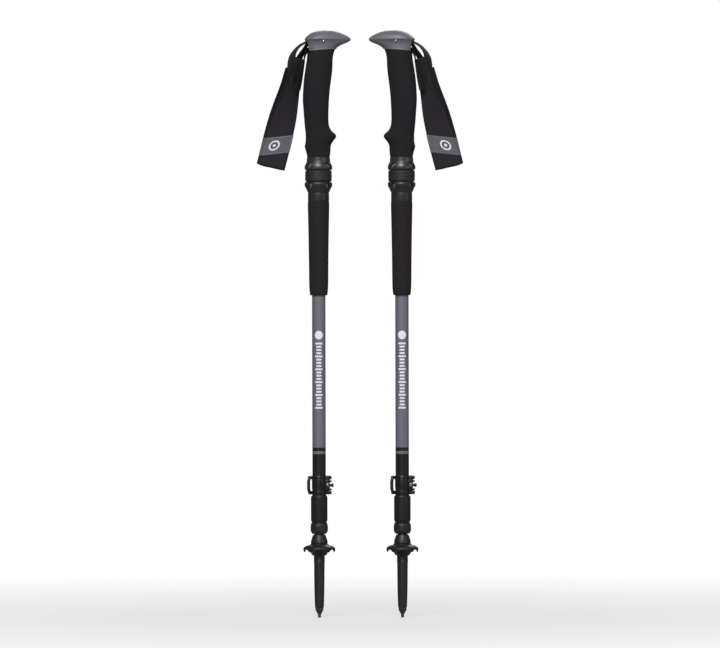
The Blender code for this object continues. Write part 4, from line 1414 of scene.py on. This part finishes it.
def webbing_shape(rows, width, thickness):
    """A woven strip along rows of (x, level, twist in degrees), thinner along its selvedges."""
    stations = smooth_rows(rows, 8)
    half, rise = width / 2, thickness / 2
    upper = [(-half, 0.0), (-half + 0.25, rise * 0.8), (-half + 1.2, rise), (0.0, rise)]
    upper += [(half - 1.2, rise), (half - 0.25, rise * 0.8), (half, 0.0)]
    outline = closed_section(upper)
    back = Vector((0, 1, 0))
    sections = []
    places = []
    run = 0.0
    for index, (x, level, twist) in enumerate(stations):
        before = stations[max(index - 1, 0)]
        after = stations[min(index + 1, len(stations) - 1)]
        tangent = Vector((after[0] - before[0], 0, after[1] - before[1])).normalized()
        sideways = Vector((-tangent.z, 0, tangent.x))
        turn = math.radians(twist)
        width_way = back * math.cos(turn) + sideways * math.sin(turn)
        outward = sideways * math.cos(turn) - back * math.sin(turn)
        centre = Vector((x, 0, level))
        if index:
            run += (centre - Vector((before[0], 0, before[1]))).length / 2
        sections.append([centre + width_way * across + outward * lift for across, lift in outline])
        places.append([(across, run) for across, _ in outline])
    return strip_shape(sections, places)


def add_strap_webbing(pole, loop):
    """The webbing: from the back layer's top over the pin, back out to the front layer, and a free tail."""
    pin = strap_pin_place(pole)

    def by_pin(*rows):
        """Rows whose levels are counted from the pin."""
        return [(x, pin.z + rise, twist) for x, rise, twist in rows]

    def in_loop(share, side, twist, inset=0.0):
        """A row that runs along one layer of the loop, at a share of its length."""
        centre, _, normal = loop.frame(share)
        return (centre + normal * side * LOOP_GAP[0] / 2).x - inset, centre.z, twist

    outer = [in_loop(0.26, -1, 27.0), in_loop(0.2, -1, 26.0)]
    outer += by_pin((-34.1, -31.0, 26.0), (-33.4, -24.6, 26.0), (-32.0, -18.9, 23.0), (-29.8, -13.9, 16.0),
                    (-24.9, -7.5, 10.5), (-17.8, -2.6, 8.0), (-11.0, 0.6, 3.0), (-4.0, 2.0, 0.0))
    wrap = []
    wrap_radius = 2.0
    steps = 8
    for step in range(steps + 1):
        turn = math.radians(110 - 215 * step / steps)
        wrap.append((pin.x + wrap_radius * math.cos(turn), pin.z + wrap_radius * math.sin(turn), 0.0))
    inner = by_pin((-5.0, -1.8, 0.0), (-10.6, -2.6, 5.0), (-13.9, -4.5, 9.0), (-15.9, -7.8, 10.0),
                   (-18.8, -13.2, 14.0), (-22.3, -18.9, 18.0), (-24.9, -24.5, 21.0))
    inner += [in_loop(0.16, 1, 24.0, 1.0), in_loop(0.24, 1, 26.0, 1.0)]
    tail = by_pin((-7.6, -8.4, 6.0), (-10.5, -9.4, 9.0), (-13.2, -11.0, 11.0), (-15.5, -14.4, 8.0),
                  (-16.8, -19.0, 3.0), (-17.6, -23.0, 3.0), (-19.4, -30.0, 12.0), (-22.9, -47.8, 19.0),
                  (-25.8, -60.8, 22.0))
    strips = [webbing_shape([*outer, *wrap, *inner], 19.0, 1.4), webbing_shape(tail, 17.0, 1.3)]
    shape = joined(*strips, coordinates="strip")
    piece = make_piece(pole, "strap_webbing", "strap_webbing", shape, mirrored=True)
    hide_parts(pole.node("strap_webbing"))
    start = pole.world((-20.0, 0, pin.z - 4.0))
    end = pole.world((-31.0, 0, pin.z - 26.0))
    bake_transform(piece)


# The pair, and what is kept of the CAD


def dress_kept_nodes(pole):
    """The pieces inside the pole keep their CAD shape and get their looks."""
    for part in ("grip_core", "stop_ring", "middle_bushing", "lower_bushing", "lock_button"):
        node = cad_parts[pole.node(part)]
        node.data.materials.clear()
        node.data.materials.append(LOOKS[part])


RIGID_PIECES = (
    add_carbide_tip, add_tip_holder, add_flex_tip, add_basket, add_lower_tube,
    add_middle_tube, add_middle_scale, add_release_housing, add_release_collar, add_release_spring,
    add_upper_tube, add_shaft_print, add_lock_clamp, add_lock_lever, add_lever_pin, add_tension_screw,
    add_foam_extension, add_lower_cup, add_upper_cup, add_shock_elastomer, add_shock_boot,
    add_grip_foam, add_knob, add_strap_pin,
)
STRAP_PIECES = (
    add_strap_pad, add_strap_stitching, add_strap_band, add_band_stitching, add_band_mark, add_strap_webbing,
)


def add_pole(pole):
    for add in RIGID_PIECES:
        add(pole)
    loop = Loop(pole)
    for add in STRAP_PIECES:
        add(pole, loop)
    dress_kept_nodes(pole)


# Floor, light and camera


def add_floor():
    """A pale disc that fades into the white surroundings."""
    place = (0, 0, -0.0004)
    bpy.ops.mesh.primitive_circle_add(vertices=FINE_SIDES, radius=6.0, fill_type="NGON", location=place)
    floor = bpy.context.object
    floor.name = "floor"
    look = Look("floor", 0.9, specular=0.0)
    centre = look.node("ShaderNodeVectorMath", {0: look.place()}, operation="LENGTH").outputs["Value"]
    farness = look.spread(centre, 0.35, 0.0, 0.25, 1.4)
    look.paint(look.mix(look.noise(400.0), (0.86, 0.86, 0.87, 1.0), (0.89, 0.89, 0.9, 1.0)))
    glow = look.node("ShaderNodeEmission", {"Color": (1, 1, 1, 1), "Strength": seen_or_lit(look, 1.0, 0.15)})
    blend = look.node("ShaderNodeMixShader", {0: farness, 1: glow.outputs[0], 2: look.shader.outputs[0]})
    look.tree.links.new(blend.outputs[0], look.tree.nodes["Material Output"].inputs["Surface"])
    floor.data.materials.append(look.finish(look.noise(300.0)))


def seen_or_lit(look, seen, lit):
    """A strength that differs between what the camera sees and what lights the poles."""
    direct = look.node("ShaderNodeLightPath").outputs["Is Camera Ray"]
    return look.spread(direct, lit, seen, 0.0, 1.0)


def set_world():
    """White surroundings that light the poles only softly."""
    world = bpy.data.worlds.new("studio")
    bpy.context.scene.world = world
    world.use_nodes = True
    tree = world.node_tree
    background = tree.nodes["Background"]
    background.inputs["Color"].default_value = (1, 1, 1, 1)
    direct = tree.nodes.new("ShaderNodeLightPath")
    strength = tree.nodes.new("ShaderNodeMapRange")
    strength.inputs["To Min"].default_value = 0.12
    strength.inputs["To Max"].default_value = 1.0
    tree.links.new(direct.outputs["Is Camera Ray"], strength.inputs["Value"])
    tree.links.new(strength.outputs["Result"], background.inputs["Strength"])


def add_softbox(name, place, size, power, target=(0, 0, 0.4)):
    light = bpy.data.lights.new(name, "AREA")
    light.shape = "RECTANGLE"
    light.size, light.size_y = size
    light.energy = power
    softbox = bpy.data.objects.new(name, light)
    softbox.location = place
    aim = Vector(target) - Vector(place)
    softbox.rotation_euler = aim.to_track_quat("-Z", "Y").to_euler()
    bpy.context.collection.objects.link(softbox)


def add_lights():
    add_softbox("key", (-0.4, -3.2, 3.0), (1.8, 1.4), 152)
    add_softbox("front", (-0.9, -4.2, 0.7), (1.6, 1.6), 12)
    add_softbox("back", (0.6, 3.0, 2.4), (2.2, 1.6), 50)
    add_softbox("side", (3.0, -2.0, 1.2), (1.0, 1.8), 13)


def add_camera():
    """A long lens straight in front, so that both poles stand upright and nothing converges."""
    distance = 8.0
    frame_width = 0.8964
    # The poles stand a little off the middle of the picture, and lean a little
    shift, rise, roll = -0.00045, 0.0002, math.radians(0.13)
    camera = bpy.data.cameras.new("camera")
    camera.sensor_width = 36.0
    camera.lens = camera.sensor_width * distance / frame_width
    camera.clip_end = 50.0
    view = bpy.data.objects.new("camera", camera)
    view.location = (shift, -distance, cad_bounds[1].z / 2 + rise)
    view.rotation_euler = (math.radians(90), roll, 0)
    bpy.context.collection.objects.link(view)
    bpy.context.scene.camera = view
    bpy.context.scene.view_settings.view_transform = "Standard"


add_pole(Pole("left", 1))
add_pole(Pole("right", -1))
add_floor()
set_world()
add_lights()
add_camera()
